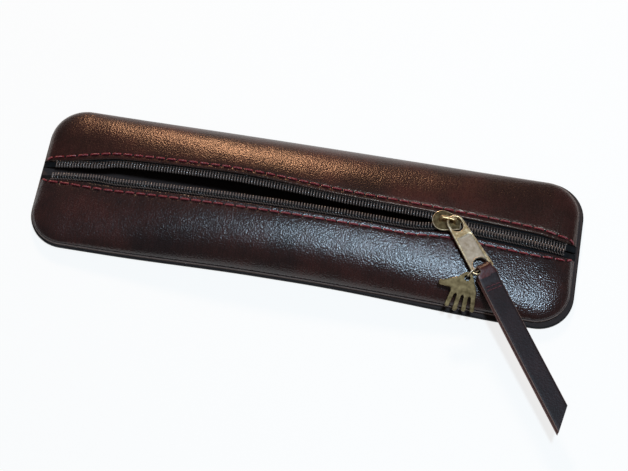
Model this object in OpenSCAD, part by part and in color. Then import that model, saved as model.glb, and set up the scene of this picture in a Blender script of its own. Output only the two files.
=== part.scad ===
// Zip-up leather pen case with a coil zip, a slider, a pull tab, a leather pull strap and a charm.
// +X runs along the zip towards its closed end, -Y is the near side and +Z is up.
// The origin is the centre of the back panel's underside.

/* [Case] */
// Length of the back panel
case_length = 210; // [200:1:225]
// Width of the back panel
case_width = 58; // [56:1:64]
// How much wider the back panel is on the near side at its closed end
back_flare = 3; // [0:0.1:3.2]
// How much wider the near front panel is at its closed end
front_flare = 1.7; // [0:0.1:2]
// How much wider both are on the near side at the open end
open_flare = 1.1; // [0:0.1:1.5]
// How far the front panels end inside the back panel at the closed end
closed_inset = 1.2; // [0:0.1:1.4]
// Corner radius of the back panel
corner_radius = 14; // [12:0.5:17]
// Thickness of the back panel's leather
back_thickness = 1.6; // [1.2:0.1:1.8]
// Thickness of the front panels' leather
front_thickness = 1.15; // [1:0.05:1.3]
// Height of the cut edge where the front panels lie on the back panel
flange_thickness = 1.3; // [1.2:0.05:1.5]
// How far the front panels' cut edge stands inside the back panel's edge
flange_inset = 0.5; // [0.3:0.1:0.8]
// Width of the flat step outside the foot of the dome
step_width = 0.9; // [0.6:0.1:1.2]
// Width of the seam allowance inside the case, from the front panels' cut edge
allowance_width = 4.6; // [4.4:0.1:5.5]
// Height of the chain's centre line above the table at mid length
chain_height = 14.2; // [13.4:0.1:16]
// Radius of the arc that the chain follows along the case
chain_radius = 600; // [550:10:700]

/* [Zip] */
// Spacing of the coil's turns
coil_pitch = 1.38; // [1.34:0.02:1.5]
// Thickness of one turn along the chain
turn_thickness = 0.56; // [0.5:0.02:0.58]
// Width of one turn across the chain
turn_width = 2.95; // [2.85:0.05:3.05]
// Height of one turn
turn_height = 1.8; // [1.7:0.05:1.85]
// Wall of one turn
turn_wall = 0.52; // [0.45:0.01:0.55]
// How far each turn reaches past the centre line when the zip is closed
mesh_depth = 0.35; // [0.3:0.05:0.4]
// Thickness of the tape
tape_thickness = 0.5; // [0.4:0.05:0.55]
// Distance from the centre line to the tape's hidden edge when the zip is closed
tape_reach = 9.2; // [8:0.1:9.6]
// Distance from the centre line to each leather edge where the zip is closed
lip_offset = 3.75; // [3.7:0.05:4]
// How far the near row parts from the centre line where the zip is open
near_parting = 2.2; // [1.9:0.1:2.4]
// How far the far row parts from the centre line where the zip is open
far_parting = 3.4; // [2.8:0.1:3.6]
// How far the near leather edge parts
near_lip_parting = 1.6; // [1.6:0.1:2]
// How far the far leather edge parts
far_lip_parting = 3; // [2.7:0.1:3.2]
// How far both rows stay parted beyond the slider's last position at the open end
end_parting = 1.5; // [1.3:0.05:1.6]

/* [Slider] */
// Distance of the slider from mid length at rest
slider_x = 53; // [40:1:60]
// Farthest distance of the slider from mid length
slider_reach = 83; // [75:1:84]
// Length of the slider's plates
slider_length = 11; // [10.6:0.1:11.4]
// Radius of the top plate's round front lobe
lobe_radius = 4.15; // [4:0.05:4.3]
// Half width of the top plate's rear end
rear_half_width = 2.5; // [2.3:0.1:2.8]
// Half width of the bottom plate
bottom_half_width = 3.7; // [3.5:0.05:3.8]
// Thickness of each plate
plate_thickness = 1; // [0.9:0.05:1.1]
// Half width of the post that divides the rows
post_half_width = 0.4; // [0.35:0.05:0.45]
// Thickness of the side rails
rail_thickness = 0.5; // [0.4:0.05:0.55]
// Half width of the bridge
bridge_half_width = 0.65; // [0.6:0.05:0.7]
// Length of each foot of the bridge
bridge_foot = 1.1; // [1:0.05:1.2]
// Distance between the centres of the bridge's feet
bridge_span = 5.2; // [5:0.1:5.4]
// Clear height under the bridge
bridge_clear = 2.3; // [2.2:0.05:2.5]

/* [Pull tab] */
// Distance from the tab's upper hole to its lower hole
tab_length = 19; // [18:0.5:21]
// Thickness of the tab's frame
tab_thickness = 1.4; // [1.2:0.05:1.5]
// Half width of the tab's upper hole
upper_hole_radius = 2.45; // [2.3:0.05:2.55]
// Length of the straight part of the upper hole
upper_hole_straight = 1.1; // [0.8:0.1:1.4]
// Width of the ring around the upper hole
ring_width = 0.85; // [0.8:0.05:0.95]
// Half width of the tab at its lower end
tab_half_width = 4.5; // [4.4:0.05:4.7]
// Half width of the tab's lower hole
lower_hole_radius = 3.15; // [3.05:0.05:3.25]
// Length of the straight part of the lower hole
lower_hole_straight = 1.25; // [1.2:0.05:1.6]
// Width of the bar below the lower hole
bar_width = 1.5; // [1.4:0.05:1.6]
// Depth of the sunken panel on each face
panel_depth = 0.35; // [0.2:0.05:0.4]
// Turn of the tab away from the zip at rest
tab_yaw = 51; // [45:1:55]
// Downward slope of the tab on the slider at rest
tab_pitch = 2; // [1:0.1:2.4]

/* [Strap and charm] */
// Length of the strap on its long side, from the tab's bar
strap_length = 67; // [60:1:80]
// Width of the strap
strap_width = 7.8; // [7.5:0.1:8.2]
// Thickness of one layer of the strap
strap_thickness = 1.25; // [1.15:0.05:1.3]
// Turn of the strap away from the tab at rest
strap_yaw = 4.5; // [0:0.5:6]
// Rise of the strap from the tab's plane at rest
strap_rise = 2; // [1.5:0.1:3]
// Wire radius of the jump ring
ring_wire = 0.28; // [0.25:0.01:0.3]
// Mean radius of the jump ring
ring_radius = 2.1; // [2.05:0.05:2.15]
// Thickness of the hand charm
charm_thickness = 0.9; // [0.8:0.05:1]
// Length of the hand charm's palm, from its hole
palm_length = 6.5; // [6.2:0.1:6.8]
// Half width of the hand charm's palm
palm_half_width = 4.85; // [4.75:0.05:5]

/* [Stitching] */
// Distance between the starts of two red stitches
stitch_pitch = 4.3; // [4:0.1:5]
// Length of one red stitch
stitch_length = 3.7; // [3:0.1:3.8]
// Thread radius of the red stitches
stitch_radius = 0.3; // [0.25:0.01:0.34]
// Distance of the red stitches from the leather edge
stitch_inset = 2; // [1.5:0.1:2.4]
// Thread radius of the rim seam
seam_radius = 0.26; // [0.2:0.01:0.3]

/* [Hidden] */

$fn = 48;
NEAR = -1;
FAR = 1;
// Clearances: soft pieces, cast pieces that slide, pins that turn, threads on leather
soft_gap = 0.12;
slide_gap = 0.12;
pin_gap = 0.2;
thread_gap = 0.04;

leather = "#3a2321";
leather_far = "#42261f";
black_nylon = "#141416";
red_thread = "#8a2a30";
antique_brass = "#8a7350";

half_length = case_length / 2;
half_width = case_width / 2;
rim_top = back_thickness + flange_thickness;

// The chain follows one arc over the slider's travel and then dips to the rim
travel_end = slider_reach + 3;
end_dip = 0.0062;
chain_centre_z = chain_height - chain_radius;
function arc_z(x) = chain_centre_z + sqrt(chain_radius ^ 2 - x ^ 2);
function arc_slope(x) = x / sqrt(chain_radius ^ 2 - x ^ 2);
function chain_z(x) =
    let (beyond = abs(x) - travel_end)
    beyond <= 0
        ? arc_z(x)
        : arc_z(travel_end) - arc_slope(travel_end) * beyond - end_dip * beyond ^ 2;
function chain_tilt(x) = atan((chain_z(x - 0.5) - chain_z(x + 0.5)));

// How far rows and leather edges part: 0 to 1 between two places along the zip
function smooth(t) = let (c = min(1, max(0, t))) c * c * (3 - 2 * c);
function ramp(x, from, to) = smooth((x - from) / (to - from));
mesh_start = slider_x + 4.3;
near_open_by = 19;
far_first_by = 10.3;
far_first_share = 0.28;
far_open_start = slider_x - 10;
far_open_by = 83;
lip_open_by = 17;
far_lip_start = far_open_start - 20;
far_lip_by = 59;
open_end_start = -slider_reach - 10;
open_end_full = -slider_reach + 11;
spread_start = -slider_reach + 4;
spread_full = -slider_reach - 8;
// The far row parts a little behind the slider, and fully where a pen passes
function opened(side, x) = side == NEAR
    ? ramp(x, mesh_start, mesh_start - near_open_by)
    : max(
        far_first_share * ramp(x, mesh_start, mesh_start - far_first_by),
        ramp(x, far_open_start, far_open_start - far_open_by)
    );
function parting(side, x) =
    (side == NEAR ? near_parting : far_parting) * opened(side, x) * ramp(x, open_end_start, open_end_full)
    + end_parting * ramp(x, spread_start, spread_full);
// The leather edges part with the rows, and close in beyond the slider's last position
lip_spread = 0.35;
lip_squeeze = 0.55;
function lip_y(side, x) =
    let (full = side == NEAR ? near_lip_parting : far_lip_parting)
    let (lip_opened = side == NEAR
        ? ramp(x, slider_x + 2, slider_x + 2 - lip_open_by)
        : ramp(x, far_lip_start, far_lip_start - far_lip_by))
    side * (lip_offset + full * lip_opened * ramp(x, -half_length + 9, -half_length + 31)
        + lip_spread * ramp(x, spread_start, spread_full)
        - lip_squeeze * ramp(x, slider_reach + 4.6, slider_reach + 13));

// The turns stand on the tape, and the leather lies on the tape beside them
turn_base = -turn_height / 2;
tape_top = turn_base - 0.02;
row_centre = turn_width / 2 - mesh_depth;
lip_underside = tape_top + soft_gap;
function lip_z(x) = chain_z(x) + lip_underside + front_thickness;
zip_end = half_length - 0.4;

// Front panel: matching places along the lip and the rim, from the open end to the closed end
lip_end = half_length - 3.5;
lip_corner = 95;
lip_straight = 86;
corner_steps = 6;
side_steps = 3;
front_steps = 38;
rim_straight = half_length - corner_radius;
// A station is [share of the straight front, turn round the corner in degrees, share of the short side]
stations_end = [
    for (i = [side_steps:-1:1]) [1, 90, i / side_steps],
    for (i = [corner_steps:-1:1]) [1, 90 * i / corner_steps, 0]
];
stations = [
    for (s = stations_end) [-1, s],
    for (i = [0:front_steps]) [i < front_steps / 2 ? -1 : 1, [abs(2 * i / front_steps - 1), 0, 0]],
    for (i = [len(stations_end) - 1:-1:0]) [1, stations_end[i]]
];
function end_inset(sign) = sign > 0 ? closed_inset : 0;
function station_lip_x(q) =
    let (corner_run = (lip_corner - lip_straight) * q[1][1] / 90)
    let (end_run = lip_end - end_inset(q[0]) - lip_corner)
    q[0] * (lip_straight * q[1][0] + corner_run + end_run * q[1][2]);
// The near edge bows out towards both ends
function edge_y(side, x, flare) =
    half_width + (side == FAR ? 0 : flare * ramp(x, 0, rim_straight) + open_flare * ramp(-x, 15, 75));
function station_rim(side, q, inset) =
    let (radius = corner_radius - inset, turn = q[1][1])
    let (x = q[0] * (rim_straight * q[1][0] + radius * sin(turn)))
    let (hub = edge_y(side, x, front_flare) - corner_radius)
    [
        x - end_inset(q[0]) * ramp(x, rim_straight - 25, rim_straight),
        side * (hub + radius * cos(turn) - (hub - abs(lip_y(side, q[0] * lip_end))) * q[1][2])
    ];
function dome_z(x, t) = rim_top + 0.1 + (lip_z(x) - rim_top - 0.1) * sin(t);
// The seam allowance stays narrower than the panel at the two short ends
function allowance(reach) = min(allowance_width, 0.86 * reach);
outer_steps = 10;
inner_steps = 6;
function section(side, q) =
    let (x = station_lip_x(q), rim = station_rim(side, q, flange_inset))
    let (lip = [x, lip_y(side, x)], reach = norm(lip - rim), along = (lip - rim) / reach)
    let (dome = reach - step_width, hollow_start = step_width + front_thickness)
    let (hollow = reach - hollow_start, lip_low = lip_z(x) - front_thickness)
    let (profile = [
        [0, back_thickness],
        [0, rim_top],
        for (i = [0:outer_steps])
            let (t = 90 * i / outer_steps)
            [step_width + dome * (1 - cos(t)), dome_z(x, t)],
        for (i = [inner_steps:-1:1])
            let (t = 90 * i / inner_steps)
            [hollow_start + hollow * (1 - cos(t)), rim_top + 0.1 + (lip_low - rim_top - 0.1) * sin(t)],
        [hollow_start + 0.1, rim_top],
        [allowance(reach), rim_top - 0.02],
        [allowance(reach), back_thickness]
    ])
    [for (p = profile) [each (rim + along * p[0]), p[1]]];

// A closed skin through rings of points, each ring with the same number of points
module skin(rings, flip) {
    count = len(rings[0]);
    last = len(rings) - 1;
    points = [for (ring = rings) each ring];
    sides = [
        for (i = [0:last - 1], j = [0:count - 1])
            let (a = i * count + j, b = i * count + (j + 1) % count)
            each [[a, b, b + count], [a, b + count, a + count]]
    ];
    faces = [
        each sides,
        [for (j = [count - 1:-1:0]) j],
        [for (j = [0:count - 1]) last * count + j]
    ];
    polyhedron(points = points, faces = flip ? [for (f = faces) [for (k = [len(f) - 1:-1:0]) f[k]]] : faces);
}

// Counter-clockwise round the near edge, the closed end, the far edge and the open end
edge_steps = 24;
function corner(sx, side, start) =
    let (hub_x = sx * rim_straight, hub = [hub_x, side * (edge_y(side, hub_x, back_flare) - corner_radius)])
    [for (i = [0:12]) hub + corner_radius * [cos(start + 7.5 * i), sin(start + 7.5 * i)]];
module case_outline() {
    polygon([
        for (i = [1:edge_steps - 1])
            let (x = rim_straight * (2 * i / edge_steps - 1))
            [x, -edge_y(NEAR, x, back_flare)],
        each corner(1, NEAR, -90),
        each corner(1, FAR, 0),
        each corner(-1, FAR, 90),
        each corner(-1, NEAR, 180)
    ]);
}

module back_panel() {
    color(leather)
        linear_extrude(back_thickness)
            case_outline();
}

module front_panel(side, tint) {
    color(tint)
        skin([for (q = stations) section(side, q)], side == FAR);
}

// One straight stitch between two points
module stitch(from, to, radius) {
    run = to - from;
    flat = norm([run[0], run[1]]);
    translate(from)
        rotate([0, 90 - atan2(run[2], flat), atan2(run[1], run[0])])
            cylinder(r = radius, h = norm(run), $fn = 16);
}

// The hidden seam goes through the allowance, just inside the foot of the dome
seam_inset = flange_inset + step_width + front_thickness + 3 * seam_radius;
seam_pitch = 4;
seam_length = 2.9;
seam_end = 8;
function seam_y(side, x) = side * (edge_y(side, x, front_flare) - seam_inset);
module rim_seam() {
    z = rim_top + seam_radius + thread_gap;
    corner = corner_radius - seam_inset;
    corner_turns = floor(PI / 2 * corner / seam_pitch);
    runs = floor(rim_straight / seam_pitch);
    ends = floor((half_width - corner_radius - seam_end) / seam_pitch);
    color(black_nylon)
        for (sy = [NEAR, FAR]) {
            for (i = [-runs:runs - 1]) {
                x = i * seam_pitch + 0.5;
                end = x + seam_length;
                stitch([x, seam_y(sy, x), z], [end, seam_y(sy, end), z], seam_radius);
            }
            for (sx = [-1, 1], i = [0:corner_turns - 1]) {
                from = 90 * (i + 0.15) / corner_turns;
                to = 90 * (i + 0.85) / corner_turns;
                hub_x = sx * rim_straight;
                hub_y = sy * (edge_y(sy, hub_x, front_flare) - corner_radius);
                hub = [hub_x - end_inset(sx), hub_y, z];
                stitch(
                    hub + corner * [sx * sin(from), sy * cos(from), 0],
                    hub + corner * [sx * sin(to), sy * cos(to), 0],
                    seam_radius
                );
            }
            for (sx = [-1, 1], i = [0:ends - 1]) {
                x = sx * (half_length - seam_inset) - end_inset(sx);
                top = edge_y(sy, x, front_flare) - corner_radius - i * seam_pitch;
                stitch([x, sy * (top - 0.5), z], [x, sy * (top - 0.5 - seam_length), z], seam_radius);
            }
        }
}

// A place on the dome at a station, measured inwards from the lip
function dome_point(side, q, inset, lift) =
    let (x = station_lip_x(q), rim = station_rim(side, q, flange_inset))
    let (lip = [x, lip_y(side, x)], reach = norm(lip - rim), along = (lip - rim) / reach)
    let (t = acos(inset / (reach - step_width)))
    [each (lip - along * inset), dome_z(x, t) + lift];
function station_at(x) =
    let (across = abs(x), corner = (across - lip_straight) / (lip_corner - lip_straight))
    [
        x < 0 ? -1 : 1,
        across < lip_straight ? [across / lip_straight, 0, 0]
            : across < lip_corner ? [1, 90 * corner, 0]
            : [1, 90, (across - lip_corner) / (lip_end - end_inset(x) - lip_corner)]
    ];
stitch_end = half_length - 5;
stitch_lift = stitch_radius + thread_gap;
module panel_stitching(side) {
    count = floor(2 * stitch_end / stitch_pitch);
    color(red_thread)
        for (i = [0:count - 1]) {
            x = -count * stitch_pitch / 2 + i * stitch_pitch;
            lift = abs(x + stitch_length / 2) < lip_straight ? stitch_lift : stitch_lift + end_lift;
            stitch(
                dome_point(side, station_at(x), stitch_inset, lift),
                dome_point(side, station_at(x + stitch_length), stitch_inset, lift),
                stitch_radius
            );
        }
}

// The last stitches turn along the rim on each short side
end_lift = 0.3;
module end_tacks() {
    color(red_thread)
        for (side = [NEAR, FAR], sx = [-1, 1])
            stitch(
                dome_point(side, [sx, [1, 90, 0.96]], stitch_inset, stitch_lift + end_lift),
                dome_point(side, [sx, [1, 90, 0.74]], stitch_inset, stitch_lift + end_lift),
                stitch_radius
            );
}

// The tape runs between the panels' ends out to the rim, and is narrow there
tape_steps = 56;
tape_run = 2 * zip_end - closed_inset;
tape_full = half_length - 25;
tape_narrow = half_length - 9;
tape_drop = 0.62;
tape_sag = 0.08;
function tape_section(side, x) =
    let (z = chain_z(x) + tape_top, apart = parting(side, x))
    let (end_reach = abs(lip_y(side, x)) - 0.25, narrow = 1 - ramp(abs(x), tape_full, tape_narrow))
    let (reach = end_reach + (tape_reach - end_reach) * narrow)
    let (shift = min(apart, apart * narrow + (end_reach - 2.9) * (1 - narrow)))
    let (edge = mesh_depth + apart, outer = reach + shift * narrow)
    let (bend = edge + 0.55 * (outer - edge), drop = tape_drop * narrow)
    let (half = [[edge, 0], [bend, -tape_sag], [outer, -drop]])
    [
        for (p = half) [x, side * p[0], z + p[1]],
        for (i = [2:-1:0]) [x, side * half[i][0], z + half[i][1] - tape_thickness]
    ];
module zipper_tape(side) {
    color(black_nylon)
        skin(
            [for (i = [0:tape_steps]) tape_section(side, tape_run * i / tape_steps - zip_end)],
            side == NEAR
        );
}

coil_end = half_length - 5;
function row_y(side, x) = side * (row_centre + parting(side, x));
module turn_outline(width, height) {
    union() {
        square([width - height, height], center = true);
        for (s = [-1, 1])
            translate([s * (width - height) / 2, 0])
                circle(r = height / 2, $fn = 24);
    }
}
module coil(side) {
    count = floor(2 * coil_end / coil_pitch);
    stagger = side == NEAR ? 0 : coil_pitch / 2;
    color(black_nylon)
        for (i = [0:count - 1]) {
            x = (i - count / 2) * coil_pitch + stagger;
            translate([x, row_y(side, x), chain_z(x)])
                rotate([0, chain_tilt(x), 0])
                    rotate([90, 0, 90])
                        linear_extrude(turn_thickness, center = true)
                            difference() {
                                turn_outline(turn_width, turn_height);
                                turn_outline(turn_width - 2 * turn_wall, turn_height - 2 * turn_wall);
                            }
        }
}

// A thin line along a row, at a place across and above the row's centre
line_steps = 48;
module row_line(side, across, above, radius, sides) {
    skin([
        for (i = [0:line_steps])
            let (x = (coil_end - 1) * (2 * i / line_steps - 1))
            [
                for (k = [0:sides - 1])
                    let (a = 360 * (k + 0.5) / sides, y = row_y(side, x) + side * across)
                    [x, y + radius * cos(a), chain_z(x) + above + radius * sin(a)]
            ]
    ], false);
}
cord_radius = turn_height / 2 - turn_wall - 0.13;
module filler_cord(side) {
    color(black_nylon)
        row_line(side, 0, 0, cord_radius, 6);
}
chain_thread = 0.13;
module coil_stitching(side) {
    color(black_nylon)
        row_line(side, turn_width / 4, turn_height / 2 + chain_thread + thread_gap, chain_thread, 4);
}

// Slider: drawn level around the chain's centre line and then carried along the arc
slider_turn = asin(slider_x / chain_radius);
module on_chain() {
    translate([0, 0, chain_centre_z])
        rotate([0, slider_turn, 0])
            translate([0, 0, chain_radius])
                children();
}
top_plate_z = turn_height / 2 + 2 * (chain_thread + thread_gap) + slide_gap;
plate_top = top_plate_z + plate_thickness;
bottom_plate_top = tape_top - tape_thickness - slide_gap;
front_x = -slider_length / 2;
rear_x = slider_length / 2;
module plate_outline(lobe, rear) {
    union() {
        translate([front_x + lobe, 0])
            circle(r = lobe);
        polygon([
            [front_x + lobe, -lobe], [front_x + lobe + 1.2, -lobe + 0.15], [rear_x, -rear],
            [rear_x, rear], [front_x + lobe + 1.2, lobe - 0.15], [front_x + lobe, lobe]
        ]);
    }
}
rail_inner = row_centre + turn_width / 2 + 0.5;
rail_front = -0.2;
post_length = 1.4;
post_front = front_x + 0.35;
module slider_body() {
    color(antique_brass)
        on_chain()
            union() {
                translate([0, 0, top_plate_z])
                    linear_extrude(plate_thickness)
                        plate_outline(lobe_radius, rear_half_width);
                translate([0, 0, bottom_plate_top - plate_thickness])
                    linear_extrude(plate_thickness)
                        plate_outline(bottom_half_width, bottom_half_width - 0.4);
                post_height = top_plate_z - bottom_plate_top + plate_thickness;
                translate([post_front, -post_half_width, bottom_plate_top - plate_thickness / 2])
                    cube([post_length, 2 * post_half_width, post_height]);
                // Side rails stand down from the top plate and up from the bottom plate, past the tape
                for (side = [NEAR, FAR]) {
                    low = side * rail_inner;
                    translate([rail_front, min(low, low + side * rail_thickness), tape_top + slide_gap])
                        cube([rear_x - 1.4 - rail_front, rail_thickness, top_plate_z - tape_top]);
                }
            }
}

bridge_front = -2.3;
bridge_rear = bridge_front + bridge_span;
bridge_beam = 1;
bridge_rounding = 1.1;
module slider_bridge() {
    width = bridge_span + bridge_foot;
    inner = bridge_span - bridge_foot;
    middle = (bridge_front + bridge_rear) / 2;
    height = bridge_clear + bridge_beam;
    color(antique_brass)
        on_chain()
            translate([middle, bridge_half_width, plate_top])
                rotate([90, 0, 0])
                    linear_extrude(2 * bridge_half_width)
                        difference() {
                            union() {
                                translate([-width / 2, 0])
                                    square([width, height - bridge_rounding]);
                                translate([-width / 2 + bridge_rounding, 0])
                                    square([width - 2 * bridge_rounding, height]);
                                for (s = [-1, 1])
                                    translate([s * (width / 2 - bridge_rounding), height - bridge_rounding])
                                        circle(r = bridge_rounding);
                            }
                            translate([-inner / 2, -1])
                                square([inner, bridge_clear + 1]);
                        }
}

// Pull tab: its own frame has the upper hole at the origin, +X down its length and +Z up
tab_shift = [0.35, -0.9];
bar_lift = plate_top + bridge_clear - tab_thickness / 2 - 0.25;
tab_start_z = bar_lift - 0.3;
module on_tab() {
    on_chain()
        translate([bridge_rear + tab_shift[0], tab_shift[1], tab_start_z])
            rotate([0, tab_pitch, -tab_yaw])
                children();
}
upper_outer = upper_hole_radius + ring_width;
hole_end = tab_length + lower_hole_straight;
bar_x = hole_end + bar_width / 2;
tab_end = hole_end + bar_width;
corner_clip = 1.15;
clip_x = tab_length + 1.5;
module tab_outline() {
    union() {
        circle(r = upper_outer);
        polygon([
            [0, -upper_outer], [clip_x, -tab_half_width],
            [tab_end - 0.6, -tab_half_width + corner_clip / 2], [tab_end, -tab_half_width + corner_clip],
            [tab_end, tab_half_width - corner_clip], [tab_end - 0.6, tab_half_width - corner_clip / 2],
            [clip_x, tab_half_width], [0, upper_outer]
        ]);
    }
}
module tab_panel() {
    start = upper_hole_straight + upper_outer + 1.6;
    near_half = upper_outer + 0.3 - 0.75;
    far_half = tab_half_width - 0.7;
    polygon([[start, -near_half], [tab_length, -far_half], [tab_length, far_half], [start, near_half]]);
}
// The upper hole is round at both ends, and the lower hole is closed by the straight bar
module tab_hole(x, radius, straight) {
    translate([x, 0, 0])
        cylinder(r = radius, h = 2 * tab_thickness, center = true);
    translate([x, -radius, -tab_thickness])
        cube([straight, 2 * radius, 2 * tab_thickness]);
}
module pull_tab() {
    color(antique_brass)
        on_tab()
            difference() {
                translate([0, 0, -tab_thickness / 2])
                    linear_extrude(tab_thickness)
                        tab_outline();
                tab_hole(0, upper_hole_radius, upper_hole_straight);
                translate([upper_hole_straight, 0, 0])
                    cylinder(r = upper_hole_radius, h = 2 * tab_thickness, center = true);
                tab_hole(tab_length, lower_hole_radius, lower_hole_straight);
                for (z = [tab_thickness / 2 - panel_depth, -tab_thickness / 2 - 1])
                    translate([0, 0, z])
                        linear_extrude(panel_depth + 1)
                            tab_panel();
            }
}

// Strap: one strip folded round the tab's bar, with its two layers flat against each other
loop_inner = norm([bar_width, tab_thickness]) / 2 + pin_gap;
loop_outer = loop_inner + strap_thickness;
loop_low = -2.1;
loop_high = 2.95;
strap_tip = strap_width;
fold_length = 6.5;
fold_middle = fold_length * 0.55;
fold_thickness = strap_thickness * 1.45;
module strap_side() {
    union() {
        circle(r = loop_outer);
        polygon([
            [0, -loop_outer], [fold_middle, -fold_thickness], [fold_length, -strap_thickness],
            [strap_length, -strap_thickness], [strap_length, strap_thickness],
            [fold_length, strap_thickness], [fold_middle, fold_thickness], [0, loop_outer]
        ]);
    }
}
module strap_top() {
    wide_start = bar_width / 2 + 0.55;
    polygon([
        [wide_start, -strap_width / 2], [strap_length, -strap_width / 2],
        [strap_length - strap_tip, strap_width / 2], [wide_start, strap_width / 2]
    ]);
}
module on_strap() {
    on_tab()
        translate([bar_x, 0, 0])
            rotate([0, -strap_rise, 0])
                children();
}
module pull_strap() {
    color(leather)
        on_strap()
            difference() {
                union() {
                    translate([0, loop_high, 0])
                        rotate([90, 0, 0])
                            linear_extrude(loop_high - loop_low)
                                intersection() {
                                    strap_side();
                                    translate([-loop_outer, -loop_outer])
                                        square([loop_outer + fold_length, 2 * loop_outer]);
                                }
                    rotate([0, 0, -strap_yaw])
                        intersection() {
                            translate([0, strap_width, 0])
                                rotate([90, 0, 0])
                                    linear_extrude(2 * strap_width)
                                        strap_side();
                            translate([0, 0, -loop_outer])
                                linear_extrude(2 * loop_outer)
                                    strap_top();
                        }
                }
                rotate([90, 0, 0])
                    cylinder(r = loop_inner, h = 3 * strap_width, center = true);
            }
}

// Two cross rows close the fold, top and bottom
cross_rows = [fold_length + 0.6, fold_length + 2];
cross_thread = 0.2;
module strap_stitching() {
    reach = strap_width / 2 - 0.7;
    color(red_thread)
        on_strap()
            rotate([0, 0, -strap_yaw])
                for (x = cross_rows, s = [-1, 1], k = [-1, 0, 1]) {
                    z = s * (strap_thickness + cross_thread + thread_gap);
                    y = k * 2 * reach / 3;
                    stitch([x, y - reach / 3 + 0.2, z], [x, y + reach / 3 - 0.2, z], cross_thread);
                }
}

// Jump ring: through the lower hole and round the tab's left rail
ring_x = tab_length + 0.5;
rail_middle = (tab_half_width + lower_hole_radius) / 2;
rail_half = (tab_half_width - lower_hole_radius) / 2;
ring_out = ring_radius - ring_wire - norm([rail_half, tab_thickness / 2]) - soft_gap;
ring_yaw = 14;
ring_drop = 32;
module on_ring() {
    on_tab()
        translate([ring_x, -rail_middle, 0])
            rotate([ring_drop, 0, ring_yaw])
                translate([0, -ring_out, 0])
                    children();
}
module jump_ring() {
    color(antique_brass)
        on_ring()
            rotate([0, 90, 0])
                rotate_extrude()
                    translate([ring_radius, 0])
                        circle(r = ring_wire, $fn = 24);
}

// Hand charm: its hole is at the origin, its fingers point along +X and its thumb along -Y
charm_pitch = 15;
charm_yaw = -58;
charm_hole = 1.1;
charm_rim = 1.15;
charm_hang = charm_hole - ring_wire - pin_gap;
finger_width = 1.9;
finger_pitch = 2.6;
finger_fan = 6;
finger_reach = [6.4, 7.2, 6.6, 6.1];
thumb_tip = [4.1, -8.9];
thumb_radius = 1.05;
module hand_outline() {
    union() {
        circle(r = charm_hole + charm_rim);
        polygon([
            [-1.2, -1.9], [0.8, -4.2], [palm_length, -palm_half_width],
            [palm_length, palm_half_width], [3, 4.1], [-0.8, 2.1]
        ]);
        for (k = [0:3])
            translate([palm_length - 0.6, (k - 1.5) * finger_pitch])
                rotate((k - 1.5) * finger_fan) {
                    translate([0, -finger_width / 2])
                        square([finger_reach[k] - finger_width / 2, finger_width]);
                    translate([finger_reach[k] - finger_width / 2, 0])
                        circle(r = finger_width / 2);
                }
        polygon([
            [0.8, -4.2], thumb_tip - [thumb_radius, 0], thumb_tip + [thumb_radius, 0],
            [4.9, -palm_half_width + 0.1], [3, -3]
        ]);
        translate(thumb_tip)
            circle(r = thumb_radius);
    }
}
module hand_charm() {
    color(antique_brass)
        on_ring()
            translate([0, -ring_radius, 0])
                rotate([-ring_drop, 0, 0])
                    rotate([0, charm_pitch, charm_yaw])
                        translate([charm_hang, 0, -charm_thickness / 2])
                            linear_extrude(charm_thickness)
                                difference() {
                                    hand_outline();
                                    circle(r = charm_hole);
                                }
}

back_panel();
front_panel(NEAR, leather);  // front_panel_near
front_panel(FAR, leather_far);  // front_panel_far
rim_seam();
panel_stitching(NEAR);  // panel_stitching_near
panel_stitching(FAR);  // panel_stitching_far
end_tacks();
zipper_tape(NEAR);  // zipper_tape_near
zipper_tape(FAR);  // zipper_tape_far
coil(NEAR);  // coil_near
coil(FAR);  // coil_far
filler_cord(NEAR);  // filler_cord_near
filler_cord(FAR);  // filler_cord_far
coil_stitching(NEAR);  // coil_stitching_near
coil_stitching(FAR);  // coil_stitching_far
slider_body();
slider_bridge();
pull_tab();
pull_strap();
strap_stitching();
jump_ring();
hand_charm();
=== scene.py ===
"""Looks for a zip-up leather pen case: panels, coil zip, stitching, slider, pull tab, strap and charm."""

import math

import bmesh
import bpy
from bpy.props import FloatProperty, FloatVectorProperty, PointerProperty
from mathutils import Matrix, Vector, noise

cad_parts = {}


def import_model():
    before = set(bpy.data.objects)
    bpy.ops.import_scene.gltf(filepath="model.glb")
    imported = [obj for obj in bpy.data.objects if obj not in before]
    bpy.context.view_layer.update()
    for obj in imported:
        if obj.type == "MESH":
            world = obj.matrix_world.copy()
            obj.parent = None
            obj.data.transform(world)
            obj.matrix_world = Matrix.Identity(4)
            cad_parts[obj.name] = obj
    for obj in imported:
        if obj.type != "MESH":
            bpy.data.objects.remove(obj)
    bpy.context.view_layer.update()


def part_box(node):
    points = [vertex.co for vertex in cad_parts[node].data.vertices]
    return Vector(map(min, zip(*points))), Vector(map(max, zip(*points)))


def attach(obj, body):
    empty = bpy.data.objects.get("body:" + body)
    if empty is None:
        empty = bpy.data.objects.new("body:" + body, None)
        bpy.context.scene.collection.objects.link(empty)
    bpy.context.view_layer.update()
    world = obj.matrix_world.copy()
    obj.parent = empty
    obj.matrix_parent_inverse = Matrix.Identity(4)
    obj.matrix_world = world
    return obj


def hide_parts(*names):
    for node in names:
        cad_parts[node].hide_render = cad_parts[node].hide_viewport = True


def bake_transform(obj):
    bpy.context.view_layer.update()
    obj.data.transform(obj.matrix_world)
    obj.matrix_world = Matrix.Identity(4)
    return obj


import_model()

bl_info = {
    "name": "Leather pen case",
    "version": (1, 0, 0),
    "blender": (4, 5, 0),
    "location": "3D Viewport > Sidebar > Pen case",
    "description": "Leather, coil zip, stitching and metal parts for a zip-up pen case",
    "category": "Add Mesh",
}

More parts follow.
